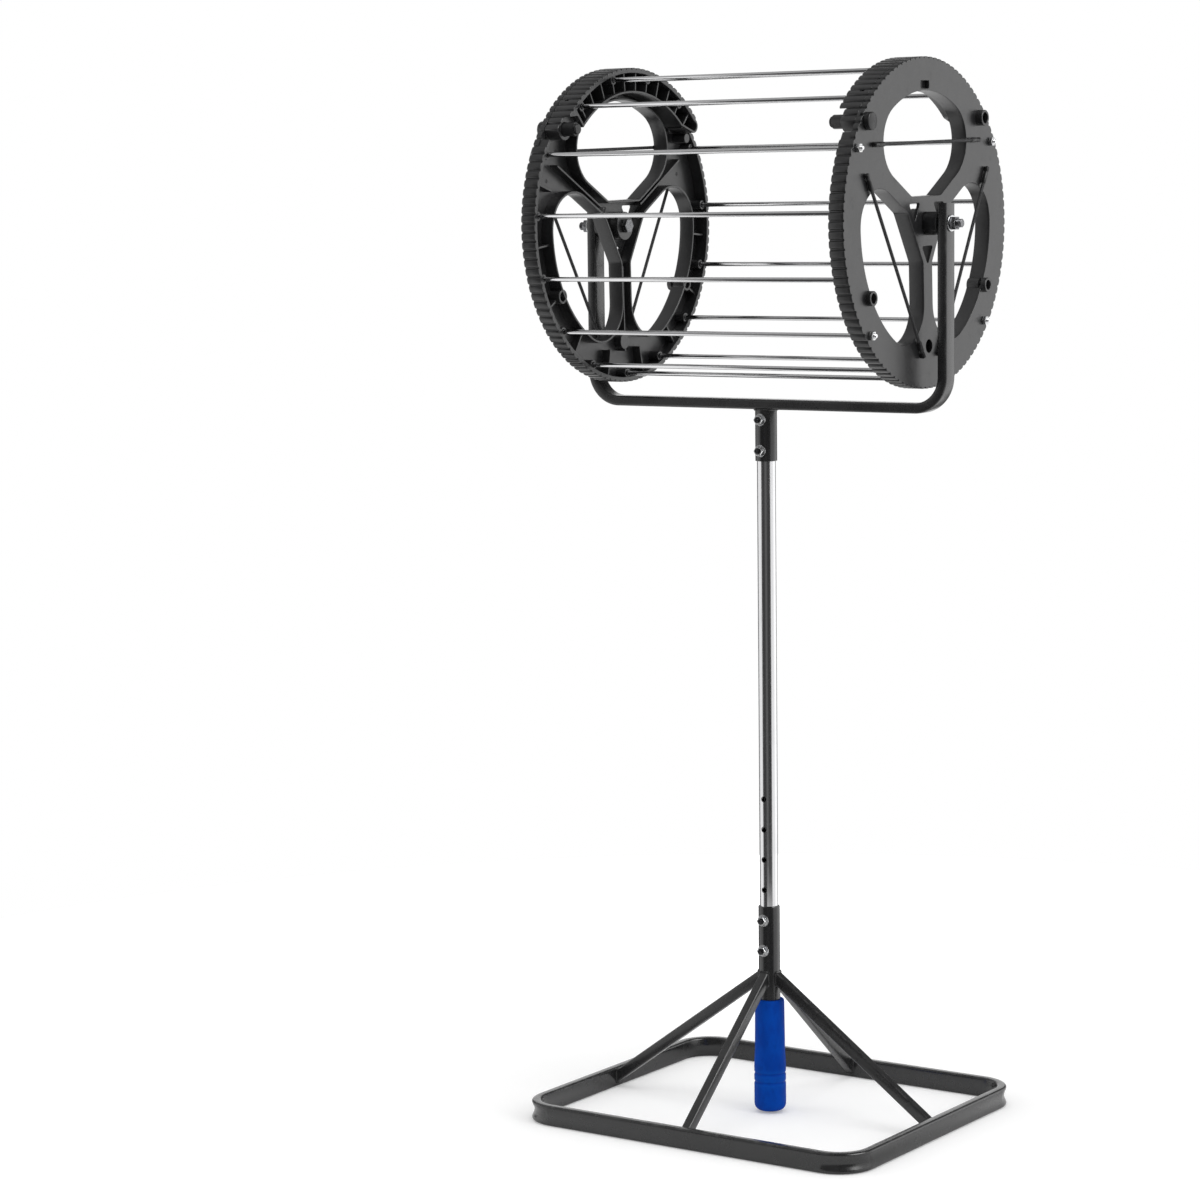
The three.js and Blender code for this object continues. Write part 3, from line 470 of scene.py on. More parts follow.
# Drawn stainless tube: long fine draw lines, faint stains and finger marks
def drawn_steel(name, along, colour, dark, low, high, grain):
    n = Finish(name, colour, low, metallic=1.0)
    lines = n.noise(tuple(3.0 if axis == along else 1400.0 for axis in "xyz"), 4, low=0.3, high=0.7)
    bands = n.noise(tuple(7.0 if axis == along else 260.0 for axis in "xyz"))
    marks = n.noise(32, detail=5, low=0.5, high=0.74)
    shade = n.over(colour, dark, lines, 0.35)
    shade = n.over(shade, dark, marks, 0.22)
    n.bump(lines, grain)
    return n.done(shade, n.ramp(n.blend(bands, marks), 0, 1, low, high))


# Zinc plate: a cool, slightly clouded bright finish
def zinc():
    n = Finish("zinc_plate", (0.74, 0.75, 0.76), 0.24, metallic=1.0)
    cloud = n.noise(420, detail=4)
    shade = n.over((0.80, 0.81, 0.82), (0.62, 0.63, 0.65), cloud)
    shade = n.over(shade, (0.70, 0.67, 0.58), n.noise(160, low=0.4, high=0.7), 0.25)
    n.bump(n.noise(3000, low=0.2, high=0.8), 0.000008)
    return n.done(shade, n.ramp(cloud, 0, 1, 0.18, 0.34))


# Black oxide steel: dark, oily, and bright along its edges as rubbed wear and painted highlight
def black_oxide(name, low, high):
    n = Finish(name, low, 0.34, metallic=1.0)
    cloud = n.noise(500, detail=4)
    shade = n.over(low, high, cloud)
    # Marked edges painted bright grey: partly rubbed wear, partly a painted edge highlight
    shade = n.over(shade, (0.33, 0.33, 0.34), n.worn_and_highlit(), n.noise(800, low=0.3, high=0.7))
    n.bump(n.noise(2600, low=0.2, high=0.8), 0.00001)
    return n.done(shade, n.ramp(cloud, 0, 1, 0.26, 0.44))


# Elastic cord: a braided cover, two sets of strands laid over each other round the core
def cord_cover(strands=8, lay=1.1):
    n = Finish("cord_cover", (0.020, 0.020, 0.021), 0.62)
    run = n.make("ShaderNodeSeparateXYZ")
    n.feed(n.make("ShaderNodeUVMap", uv_map="run").outputs["UV"], run.inputs[0])
    weave = []
    for hand in (1, -1):
        around = n.maths("MULTIPLY", run.outputs["X"], 2 * math.pi * strands * hand)
        along = n.maths("MULTIPLY", run.outputs["Y"], 2 * math.pi / lay)
        weave.append(n.maths("SINE", n.maths("ADD", along, around)))
    braid = n.ramp(n.maths("MAXIMUM", *weave), 0.0, 1.0)
    dusty = n.noise(90, detail=4)
    shade = n.over((0.007, 0.007, 0.008), (0.034, 0.034, 0.036), braid)
    shade = n.over(shade, (0.06, 0.06, 0.06), dusty, 0.3)
    n.bump(braid, 0.00018).bump(n.noise(4000, low=0.2, high=0.8), 0.00002)
    return n.done(shade, n.ramp(dusty, 0, 1, 0.55, 0.75))


# Blue dipped rubber: soft, slightly mottled, with a painted sheen in lighter blue where a hand rubs
# it
def grip_rubber():
    n = Finish("grip_rubber", (0.0004, 0.052, 0.36), 0.5, Specular_IOR_Level=0.07)
    mottle = n.noise((70, 70, 34), detail=4)
    grime = n.noise((150, 150, 90), detail=5, low=0.52, high=0.76)
    grain = n.noise(1500, detail=3, low=0.25, high=0.75)
    shade = n.over((0.0003, 0.044, 0.33), (0.0006, 0.060, 0.41), mottle)
    shade = n.over(shade, (0.0008, 0.031, 0.20), grime, 0.35)
    # Painted sheen: a lighter blue on the lands where a hand rubs the grip
    shade = n.over(shade, (0.002, 0.080, 0.44), n.worn_and_highlit(), 0.45)
    n.bump(grain, 0.00003).bump(n.noise(240, detail=2, low=0.2, high=0.8), 0.00012)
    return n.done(shade, n.ramp(mottle, 0, 1, 0.42, 0.6))


POLE_SHADES = ((0.80, 0.80, 0.81), (0.60, 0.60, 0.61))
ROD_SHADES = ((0.82, 0.82, 0.83), (0.62, 0.62, 0.63))
FINISHES = {
    "frame_paint": powder_coat(),
    "wheel_plastic": wheel_plastic(),
    "trim_plastic": trim_plastic(),
    "pole_steel": drawn_steel("pole_steel", "z", *POLE_SHADES, 0.13, 0.24, 0.000006),
    "rod_steel": drawn_steel("rod_steel", "x", *ROD_SHADES, 0.12, 0.22, 0.000005),
    "zinc_steel": zinc(),
    "cord_rubber": cord_cover(),
    "grip_rubber": grip_rubber(),
    "black_steel": black_oxide("black_oxide", (0.040, 0.041, 0.045), (0.085, 0.086, 0.09)),
}
RUBBED = black_oxide("rubbed_oxide", (0.13, 0.132, 0.14), (0.26, 0.262, 0.27))


# Meshes
def mesh_of(shape, name):
    mesh = bpy.data.meshes.new(name)
    mesh.from_pydata([p * MM for p in shape.points], [], shape.faces)
    return mesh


def put(name, data):
    thing = bpy.data.objects.new(name, data)
    bpy.context.scene.collection.objects.link(thing)
    return thing


def cut_out(piece, cutter):
    tool = put(f"{piece.name}_cut", mesh_of(cutter, "cut"))
    change = piece.modifiers.new("cut", "BOOLEAN")
    change.operation, change.object, change.solver = "DIFFERENCE", tool, "EXACT"
    bpy.context.view_layer.update()
    finished = piece.evaluated_get(bpy.context.evaluated_depsgraph_get())
    mesh = bpy.data.meshes.new_from_object(finished)
    piece.modifiers.clear()
    piece.data = mesh
    bpy.data.objects.remove(tool)


# A piece rides a body, fills a slot with its finish or another, and replaces the nodes named
def add_piece(name, shape, body, slot, nodes=(), finish=None, sharp=38.0, cutters=()):
    mesh = mesh_of(shape, name)
    uv = mesh.uv_layers.new(name="run")
    for face, coordinates in zip(mesh.polygons, shape.uvs):
        for loop, value in zip(face.loop_indices, coordinates):
            uv.data[loop].uv = value
    # Each point's mark for wear and painted highlight goes to the mesh for the finishes
    mesh.attributes.new("wear", "FLOAT", "POINT").data.foreach_set("value", shape.wear)
    mesh.polygons.foreach_set("use_smooth", [not f for f in shape.flat])
    piece = put(name, mesh)
    for cutter in cutters:
        cut_out(piece, cutter)
    piece.data.set_sharp_from_angle(angle=math.radians(sharp))
    piece.data.materials.clear()
    piece.data.materials.append(finish or FINISHES[slot])
    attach(piece, body)
    if nodes:
        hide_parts(*nodes)


# Frames: an end of the drum, and a rod
def drum_frame(place, is_turning=True):
    turn = Matrix.Rotation(DRUM_TURN if is_turning else 0.0, 4, "X")
    return Matrix.Translation((0, 0, AXLE_Z)) @ turn @ Matrix((*place, (0, 0, 0, 1)))


def end_frame(side, is_turning):
    return drum_frame(((0, 0, -side, side * DRUM_HALF), (1, 0, 0, 0), (0, 1, 0, 0)), is_turning)


def rod_place(index):
    return polar(ROD_CIRCLE, ROD_FIRST + ROD_PITCH * index)


def rod_frame(index):
    y, z = rod_place(index)
    return drum_frame(((0, 0, 1, 0), (1, 0, 0, y), (0, 1, 0, z)))


# Wheels
HINGE, CATCH = polar(HINGE_CIRCLE, HINGE_ANGLE), polar(CATCH_CIRCLE, CATCH_ANGLE)
INDEX, POST = polar(INDEX_CIRCLE, 270), polar(POST_CIRCLE, POST_ANGLE)
STUBS = [polar(STUB_CIRCLE, angle) for angle in STUB_ANGLES]

# Half of a tooth, as shares of the pitch and drops below its tip, and the flat beside its root
TOOTH_HALF = ((0.14, 0.62), (0.21, 0.22), (0.31, 0.05), (0.5, 0.0))
TOOTH_GAP = 0.07


def toothed(start, end):
    pitch = 360 / TEETH
    out = []
    tooth = math.ceil(start / pitch)
    while (tooth + 1) * pitch <= end + 1e-9:
        out += [polar(TOOTH_ROOT, tooth * pitch), polar(TOOTH_ROOT, (tooth + TOOTH_GAP) * pitch)]
        for share, drop in TOOTH_HALF:
            out.append(polar(TOOTH_TIP - drop, (tooth + share) * pitch))
        for share, drop in TOOTH_HALF[-2::-1]:
            out.append(polar(TOOTH_TIP - drop, (tooth + 1 - share) * pitch))
        out.append(polar(TOOTH_ROOT, (tooth + 1 - TOOTH_GAP) * pitch))
        tooth += 1
    return out


def window(grow):
    reach = WINDOW_OUTER - WINDOW_SHOULDER
    shoulder_turn = math.degrees(math.asin((SPOKE_HALF + WINDOW_SHOULDER) / reach))
    right, left = SPOKE_ANGLE + shoulder_turn, 180 - SPOKE_ANGLE - shoulder_turn
    tilt = math.radians(SPOKE_ANGLE)
    foot_y = WINDOW_FLOOR + WINDOW_CORNER
    foot_x = (foot_y * math.cos(tilt) - SPOKE_HALF - WINDOW_CORNER) / math.sin(tilt)
    shoulder, corner = WINDOW_SHOULDER + grow, WINDOW_CORNER + grow
    return (arc(polar(reach, right), shoulder, SPOKE_ANGLE - 90, right, 16)
            + arc(ORIGIN, WINDOW_OUTER + grow, right, left, 26)[1:-1]
            + arc(polar(reach, left), shoulder, left, 270 - SPOKE_ANGLE, 16)
            + arc((-foot_x, foot_y), corner, 270 - SPOKE_ANGLE, 270, 5)
            + arc((foot_x, foot_y), corner, 270, 270 + SPOKE_ANGLE, 5))


def slot(grow):
    u, v = SLOT_HALF[0] + grow, SLOT_HALF[1] + grow
    low, high = SLOT_CIRCLE - v, SLOT_CIRCLE + v
    return rounded_corners([(-u, low), (u, low), (u, high), (-u, high)], 0.7 + grow)


def hub_hole():
    (x, y), (u, v) = polar(HUB_HOLE_BASE, SPOKE_ANGLE), polar(HUB_HOLE_HALF, SPOKE_ANGLE + 90)
    base = [(x + u, y + v), (x - u, y - v)]
    return rounded_corners([polar(HUB_HOLE_APEX, SPOKE_ANGLE)] + base, 1.6)


def cord_ends(turn):
    return [polar(CORD_CIRCLE, 90 + turn + s * CORD_HALF_ANGLE) for s in (-1, 1)]


# Where features meet, one ends a hair short of the other, so that no two faces share a plane
def wheel():
    outline = toothed(0, 360)
    holes = []
    for angle in WINDOW_ANGLES:
        holes += [turned(window(0), angle), turned(hub_hole(), angle)]
        holes += [circle(end, CORD_HOLE_R, 16) for end in cord_ends(angle)]
    holes += [circle(ORIGIN, AXLE_BORE, 32), slot(0), circle(INDEX, INDEX_R, 40)]
    holes += [circle(HINGE, HINGE_BORE, 48), circle(CATCH, CATCH_BORE, 40)]
    holes += [circle(stub, STUB_BORE, 32) for stub in STUBS]
    holes += [circle(rod_place(i), ROD_BORE, 24) for i in TIE_RODS]
    shape = slab(outline, holes, 0, FACE, 0.45, 0)
    shape.join(slab(outline, [circle(ORIGIN, RIM_INNER, 160)], FACE, RIM_DOOR_DEPTH))
    rim = [polar(TOOTH_ROOT, RIM_START)] + toothed(RIM_START, 360 + RIM_END)
    rim += [polar(TOOTH_ROOT, RIM_END)] + arc(ORIGIN, RIM_INNER, 360 + RIM_END, RIM_START, 110)
    shape.join(slab(rim, [], RIM_DOOR_DEPTH, RIM_DEPTH, 0, 0.5))

    # Flanges round the windows, and a rib along each spoke that stops at the index pocket
    for angle in WINDOW_ANGLES:
        grown, plain = turned(window(FLANGE), angle), turned(window(0), angle)
        shape.join(slab(grown, [plain], FACE, RIM_DEPTH - 0.05, 0, 0.5))
        clear = INDEX_R + 0.6
        stops = [RIB_FOOT, INDEX_CIRCLE - clear, INDEX_CIRCLE + clear, CORD_CIRCLE]
        if angle != WINDOW_ANGLES[-1]:
            stops = [RIB_FOOT, CORD_CIRCLE]
        for inner, outer in zip(stops[::2], stops[1::2]):
            shape.join(bar(angle + SPOKE_ANGLE, inner, outer, RIB, FACE, RIB_DEPTH))

    # The slot's and the index hole's pockets, the catch post and the hub
    pocket_r, pocket_top = INDEX_R + POCKET_WALL, SLOT_FLOOR + POCKET_WALL - 0.03
    shape.join(slab(slot(POCKET_WALL), [slot(0)], FACE, SLOT_FLOOR),
               slab(slot(POCKET_WALL), [], SLOT_FLOOR, pocket_top, 0, 0.4),
               tube(INDEX, pocket_r, INDEX_R, FACE, INDEX_FLOOR),
               disc(INDEX, pocket_r, INDEX_FLOOR, INDEX_FLOOR + POCKET_WALL, 0, 0.5),
               disc(POST, POST_R, FACE, POST_DEPTH, 0, 0.6, 36),
               tube(ORIGIN, HUB_R, AXLE_BORE, FACE, RIM_DEPTH - 0.12, 0, 0.6, 48))

    # Rim ribs between the rods, and the rods' bosses
    for index in range(ROD_COUNT):
        middle = ROD_FIRST + ROD_PITCH * (index + 0.5)
        if RIM_START < middle < 360 + RIM_END:
            shape.join(bar(middle, RIM_RIB_INNER, RIM_RIB_OUTER, RIB, FACE, RIB_DEPTH + 0.05))
        if index not in DOOR_RODS:
            shape.join(tube(rod_place(index), BOSS_R, ROD_BORE, FACE, BOSS_DEPTH, 0, 0.5, 28))

    # The hinge's knuckle, the catch and the two stub tubes
    knuckle_top = RIM_DOOR_DEPTH - 0.03
    shape.join(tube(HINGE, KNUCKLE_R, HINGE_BORE, FACE, knuckle_top, 0, 0.3, 48),
               tube(CATCH, CATCH_R, CATCH_BORE, CATCH_OUT, 0, 0.7, 0, 40),
               disc(CATCH, CATCH_R, FACE, knuckle_top, 0, 0.4))
    for stub in STUBS:
        shape.join(tube(stub, STUB_R, STUB_BORE, STUB_OUT, 0, 0.7, 0, 36),
                   tube(stub, STUB_R, STUB_BORE, FACE, RIM_DEPTH - 0.3, 0, 0.5, 36))
    return shape


# Door ends
def door_outline(shrink):
    tip = polar(TOOTH_ROOT - DOOR_TIP_R, DOOR_TIP_ANGLE)
    steps = arc(tip, DOOR_TIP_R - shrink, DOOR_TIP_START, DOOR_TIP_ANGLE, 18)
    if shrink:
        end = DOOR_HOLLOW_END
        outer = arc(ORIGIN, RIM_INNER, DOOR_TIP_ANGLE, end, 60)[1:]
    else:
        outer, end = toothed(DOOR_TIP_ANGLE, DOOR_OUTER_END), DOOR_INNER_END
        outer.append(polar(HINGE_CIRCLE, DOOR_INNER_END))
    return steps + outer + arc(ORIGIN, DOOR_INNER + shrink, end, DOOR_BEND, 60)


# A ring's outline, opened on its far side by a gap of a given half width along a radius
def opened(outer, inner, angle, half):
    def meet(edge, a, b):
        t = (edge - a[1]) / (b[1] - a[1])
        return (a[0] + (b[0] - a[0]) * t, edge)

    def opened_loop(loop):
        local = turned(loop, -angle)
        inside = [x > ROD_CIRCLE and abs(y) < half for x, y in local]
        first = next(i for i in range(len(loop)) if inside[i - 1] and not inside[i])
        order = [(first + k) % len(loop) for k in range(len(loop))]
        kept = [local[i] for i in order if not inside[i]]
        gap = [local[i] for i in order if inside[i]]
        ends = meet(half, gap[-1], kept[0]), meet(-half, kept[-1], gap[0])
        return turned([ends[0]] + kept + [ends[1]], angle)

    return opened_loop(outer) + opened_loop(inner)[::-1]


def knuckle_outline():
    return (toothed(DOOR_INNER_END, KNUCKLE_END)
            + arc(HINGE, KNUCKLE_R, HINGE_ANGLE + 77, HINGE_ANGLE + 180, 16)
            + [polar(DOOR_RIB_INNER, DOOR_HOLLOW_END)])


# The last door rod's port is a gap in the outer wall, between two levels
def door_end():
    wall, hollow = door_outline(0), door_outline(DOOR_WALL)
    inner, outer, rib_top = DOOR_RIB_INNER, DOOR_RIB_OUTER, DOOR_DEPTH - 2.4
    port_rod = DOOR_RODS[-1]
    port_angle, port_half = ROD_FIRST + ROD_PITCH * port_rod, PORT_WIDTH / 2
    port_top = ROD_SEAT + PORT_WIDTH
    shape = slab(wall, [], DOOR_FACE, DOOR_BACK, 0.4, 0)
    shape.join(slab(wall, [hollow], DOOR_BACK, ROD_SEAT),
               slab(opened(wall, hollow, port_angle, port_half), [], ROD_SEAT, port_top),
               slab(wall, [hollow], port_top, DOOR_DEPTH, 0, 0.5))
    for angle in DOOR_RIB_ANGLES:
        shape.join(bar(angle, inner, outer, DOOR_RIB, DOOR_BACK, rib_top))
    shape.join(bar(port_angle, inner, ROD_CIRCLE, DOOR_RIB, DOOR_BACK, rib_top))
    for low, high in ((DOOR_BACK, ROD_SEAT), (port_top, rib_top)):
        shape.join(bar(port_angle, ROD_CIRCLE + 1, outer, DOOR_RIB, low, high))
    for index in DOOR_RODS:
        seat = port_top if index == port_rod else DOOR_BACK
        shape.join(tube(rod_place(index), BOSS_R, ROD_BORE, seat, DOOR_DEPTH - 1.2, 0, 0.5, 28))
    centre = rod_place(port_rod)
    ring = opened(circle(centre, BOSS_R, 56), circle(centre, ROD_BORE, 56), port_angle, port_half)
    shape.join(disc(centre, BOSS_R, DOOR_BACK, ROD_SEAT, 0, 0, 28),
               slab(ring, [], ROD_SEAT, port_top))
    block, bore = inset(knuckle_outline(), 0.05), circle(HINGE, HINGE_BORE, 48)
    return shape.join(slab(block, [bore], DOOR_FACE + 0.05, KNUCKLE_DEPTH, 0.4, 0.5))


# Turned fastener parts, along +Z
def edge_profile(radius, low, high, edge):
    e = edge * 0.29
    return [(0, low), (radius - edge, low), (radius - e, low + e), (radius, low + edge),
            (radius, high - edge), (radius - e, high - e), (radius - edge, high), (0, high)]


def threaded_end(radius, low, high, pitch, depth=0.3, lead=0.6):
    points, z = [], low
    while z + pitch < high - lead:
        points += [(radius, z + 0.1 * pitch), (radius, z + 0.3 * pitch)]
        points += [(radius - depth, z + 0.6 * pitch), (radius - depth, z + 0.75 * pitch)]
        z += pitch
    return points + [(radius, high - lead), (radius - lead, high), (0, high)]


def hexagon(radius, low, high, bore, chamfer):
    corners = rounded_corners(circle(ORIGIN, radius, 6), 0.35, 2)
    holes = [circle(ORIGIN, bore, 28)] if bore else []
    return slab(corners, holes, low, high, chamfer, chamfer, 2)


# Profiles as radius and height, from the wheel's outer face inwards
PIN = [(0, -5.8), (7.2, -5.8), (7.9, -5.5), (8.3, -4.9), (8.3, -0.5), (8.1, -0.3), (6.6, -0.3),
       (6.6, 34.6), (6.4, 35), (5.2, 35), (5.0, 35.2), (5.0, 37.4), (4.4, 38), (0, 38)]
SPACER = [(4.3, -14.7), (10.2, -14.7), (10.8, -14.45), (11, -14),
          (11, -1), (10.8, -0.55), (10.2, -0.3), (4.3, -0.3)]
WASHER = [(4.3, -26.7), (7.5, -26.7), (7.8, -26.4), (7.8, -25.6), (7.5, -25.3), (4.3, -25.3)]

# A ferrule from its inner end to its outer one, as radius and distance from the cord's end
FERRULE = [(0, -15.6), (1.62, -16), (2.0, -16), (2.3, -15.2), (2.3, -6), (2.05, -5.4),
           (2.05, -3.6), (2.3, -3), (2.3, 1.0), (1.7, 1.6), (0, 1.6)]


# A window's cord, just outside the wheel's face. Its ends go into their holes under ferrules.
def build_cord(name, number, turn, place):
    a, b = (Vector((*p, 0)) for p in cord_ends(turn))
    slant = (b - a).normalized().to_track_quat("Z", "Y").to_matrix().to_4x4()
    frame_cord = place @ Matrix.Translation((a + b) / 2 + Vector((0, 0, -CORD_OUT))) @ slant
    half = (b - a).length / 2
    cord = lathe([(0, -half), (CORD_R, -half), (CORD_R, half), (0, half)], 24)
    cord.uvs = [tuple((u, v - half) for u, v in face) for face in cord.uvs]
    ferrules = Shape()
    for s, end in ((-1, a), (1, b)):
        body = lathe([(r, half + z) for r, z in FERRULE], 28, worn_and_highlit=(2, 9))
        tail = disc((end.x, end.y), CORD_R, -CORD_OUT, 2.9, 0, 0.3, 24)
        ferrules.join(body.moved(frame_cord @ Matrix.Scale(s, 4, (0, 0, 1))), tail.moved(place))
    add_piece(f"braided_cord_{name}_{number}", cord.moved(frame_cord), "drum", "cord_rubber",
              [f"window_cord_{name}_{number}"])
    add_piece(f"cord_ferrules_{name}_{number}", ferrules, "drum", "trim_plastic")


def build_drum_end(name, side):
    turning, still = end_frame(side, True), end_frame(side, False)
    add_piece(f"moulded_wheel_{name}", wheel().moved(turning), "drum", "wheel_plastic",
              [f"wheel_{name}"])
    add_piece(f"moulded_door_end_{name}", door_end().moved(turning), "door", "wheel_plastic",
              [f"door_end_{name}"])
    pin = lathe(PIN, 48, centre=HINGE, worn_and_highlit=(2, 12))
    add_piece(f"turned_hinge_pin_{name}", pin.moved(turning), "drum", "trim_plastic",
              [f"hinge_pin_{name}"])
    for number, turn in enumerate(WINDOW_ANGLES, 1):
        build_cord(name, number, turn, turning)
    spacer = lathe(SPACER, 56, True, worn_and_highlit=(2, 5))
    add_piece(f"turned_spacer_{name}", spacer.moved(still), "stand", "trim_plastic",
              [f"hub_spacer_{name}"])
    washer = lathe(WASHER, 56, True)
    add_piece(f"zinc_washer_{name}", washer.moved(still), "stand", "zinc_steel",
              [f"axle_washer_{name}"])
    nut = hexagon(6.8, -32.2, -27.0, 4.15, 0.7)
    add_piece(f"oxide_nut_{name}", nut.moved(still), "stand", "black_steel",
              [f"axle_nut_{name}"], RUBBED)
    shank = lathe([(0, -16.3), (4, -16.3)] + threaded_end(4, 20, 37.6, 1.1), 36)
    bolt = hexagon(7.6, 16.3, 21.3, 0, 0.8).join(shank.moved(Matrix.Rotation(math.pi, 4, "X")))
    add_piece(f"oxide_bolt_{name}", bolt.moved(still), "stand", "black_steel",
              [f"axle_bolt_{name}"], RUBBED)


for end_name, end_side in (("left", -1), ("right", 1)):
    build_drum_end(end_name, end_side)

# Rods: sprung ones, the door's, and the tie rods with a head at one end and a nut at the other
for kind, rod_body, indices, half in (("rod", "drum", SPRUNG_RODS, ROD_HALF),
                                      ("door_rod", "door", DOOR_RODS, DOOR_ROD_HALF)):
    for number, index in enumerate(indices, 1):
        rod = lathe(edge_profile(ROD_R, -half, half, 0.5), 32)
        add_piece(f"bright_{kind}_{number}", rod.moved(rod_frame(index)), rod_body, "rod_steel",
                  [f"{kind}_{number}"])
for number, index in enumerate(TIE_RODS, 1):
    rod = lathe([(0, -181), (ROD_R, -181)] + threaded_end(ROD_R, 166, 185.2, 0.7), 32)
    rod.join(hexagon(TIE_NUT_R, -TIE_NUT_HIGH, -TIE_NUT_LOW, 0, 0.6))
    nut = hexagon(TIE_NUT_R, TIE_NUT_LOW, TIE_NUT_HIGH, 2.4, 0.6)
    add_piece(f"bright_tie_rod_{number}", rod.moved(rod_frame(index)), "drum", "rod_steel",
              [f"tie_rod_{number}"])
    add_piece(f"bright_tie_nut_{number}", nut.moved(rod_frame(index)), "drum", "zinc_steel",
              [f"tie_nut_{number}"])


# Base ring: a flat tube bent on edge, dished outside and swollen inside at its corners
def ring_section(bend, side_x=2.4, side_y=7.6, half=4.8, swell=1.4, dish=2.6, steps=8):
    corner = half - side_x
    out = arc((side_x, side_y), corner, 0, 90, 5) + arc((-side_x, side_y), corner, 90, 180, 5)
    for k in range(1, steps):
        v = side_y - 2 * side_y * k / steps
        out.append((-half - swell * bend * (1 - (v / side_y) ** 2), v))
    out += arc((-side_x, -side_y), corner, 180, 270, 5)
    out += arc((side_x, -side_y), corner, 270, 360, 5)
    for k in range(1, steps):
        v = -side_y + 2 * side_y * k / steps
        out.append((half - dish * bend * (1 - (v / side_y) ** 2) ** 1.5, v))
    return out


rings = []
path = RING_CORNER - RING_T / 2
for quarter, (cx, cy) in enumerate(((1, 1), (-1, 1), (-1, -1), (1, -1))):
    x, y = cx * (RING_X / 2 - RING_CORNER), cy * (RING_Y / 2 - RING_CORNER)
    for step in range(25):
        dx, dy = polar(1, 90 * (quarter + step / 24))
        section = ring_section(math.sin(math.pi * step / 24) ** 0.5)
        rings.append([Vector((x + dx * (path + u), y + dy * (path + u), RING_H / 2 + v))
                      for u, v in section])
# The ring's top and bottom edges carry the mark for rubbed wear and a painted edge highlight
ring_wear = [1.0 if abs(p.z - RING_H / 2) > 8.6 else 0.0 for r in rings for p in r]
ring = loft(rings, True, ring_wear).flipped()
add_piece("bent_base_ring", ring, "stand", "frame_paint", ["base_ring"])


# Legs: square tubes with rounded edges and upright ends, and the weld at either end
def build_leg(name, angle, across, start=8.0, steps=12):
    reach = across / 2 - RING_T
    slope = (LEG_TOP - LEG_FOOT) / (reach - SLEEVE_R)
    half_u, half_v = LEG_W / 2, LEG_D / 2 * math.hypot(1, slope)
    turn = Matrix.Rotation(math.radians(angle), 4, "Z")

    def on_leg(x, u, v):
        return Vector((x, u, LEG_TOP - slope * (x - SLEEVE_R) + v))

    outline = rounded_rectangle(half_u, half_v, LEG_EDGE)
    stations = [start + (reach - start) * k / steps for k in range(steps + 1)]
    # The tube's four rounded corners carry the mark for rubbed wear and a painted edge highlight
    wear = [float(abs(u) > half_u - 1.3 and abs(v) > half_v - 1.4) for u, v in outline]
    rings = [[on_leg(x, u, v) for u, v in outline] for x in stations]
    leg = loft(rings, False, wear * len(stations))
    add_piece(f"square_leg_{name}", leg.flipped().moved(turn), "stand", "frame_paint",
              [f"leg_{name}"])
    foot_line = rounded_rectangle(half_u, half_v, LEG_EDGE, 9)
    top_line = rounded_rectangle(half_u + 0.2, half_v, LEG_EDGE, 9)
    top = bead([on_leg(math.sqrt(SLEEVE_R ** 2 - u * u), u, v) for u, v in top_line], 1.25)
    foot = bead([on_leg(reach, u, v) - Vector((0.2, 0, 0)) for u, v in foot_line], 1.0)
    add_piece(f"leg_weld_{name}", top.join(foot).moved(turn), "stand", "frame_paint")


for leg_name, leg_angle, leg_across in (("right", 0, RING_X), ("back", 90, RING_Y),
                                        ("left", 180, RING_X), ("front", 270, RING_Y)):
    build_leg(leg_name, leg_angle, leg_across)


# Column: sleeve, socket and drilled pole, with the weld under the yoke
def column(outer, inner, low, high, edge=0.5):
    bore = [(inner + edge / 2, high), (inner, high - edge / 2), (inner, low + edge / 2)]
    profile = [(inner + edge / 2, low)] + edge_profile(outer, low, high, edge)[1:-1] + bore
    return lathe(profile, 72, True, worn_and_highlit=(2, 5))


sleeve = column(SLEEVE_R, SLEEVE_BORE, SLEEVE_FOOT, SLEEVE_TOP)
add_piece("coated_sleeve", sleeve, "stand", "frame_paint", ["base_sleeve"])
socket = column(SLEEVE_R, SLEEVE_BORE, SOCKET_TOP - SOCKET_LENGTH, SOCKET_TOP)
add_piece("coated_socket", socket, "stand", "frame_paint", ["yoke_socket"])
lying = Matrix.Rotation(math.pi / 2, 4, "X")
drill = lathe([(0, -14), (POLE_HOLE_R, -14), (POLE_HOLE_R, 14), (0, 14)], 28)
drills = [drill.moved(Matrix.Translation((0, 0, BASE_BOLTS[0] + BOLT_PITCH * k)) @ lying)
          for k in range(POLE_HOLES)]
pole = column(POLE_R, POLE_BORE, POLE_FOOT, SOCKET_TOP - 0.1, 0.3)
add_piece("drawn_pole", pole, "stand", "pole_steel", ["pole"], cutters=drills)
socket_line = [(x, min(max(y, -8.6), 8.6), SOCKET_TOP + 0.1) for x, y in circle(ORIGIN, 10.9, 72)]
add_piece("socket_weld", bead(socket_line, 1.1), "stand", "frame_paint")

# Grip: a rounded lower end, two moulded grooves, a slight waist and a turned-in top
grip = [(0, 1.6), (10.4, 1.6), (12.1, 2.2), (13.6, 3.3), (14.8, 4.9), (15.5, 6.6), (15.8, 8.6),
        (15.8, 24)]
for low in (30.6, 39.4):
    for k in range(-8, 9):
        grip.append((15.8 - 0.75 * math.cos(math.pi * k / 16) ** 2, low + 2.2 * k / 8))
grip += [(15.8, 45), (15.7, 49), (15.4, 54), (15.1, 60), (14.95, 66), (14.9, 74), (14.8, 86),
         (14.68, 98), (14.6, 107), (14.55, 110), (14.4, 112), (14.1, 113.4), (13.4, 114),
         (11.0, 114), (11.0, 27), (0, 27)]
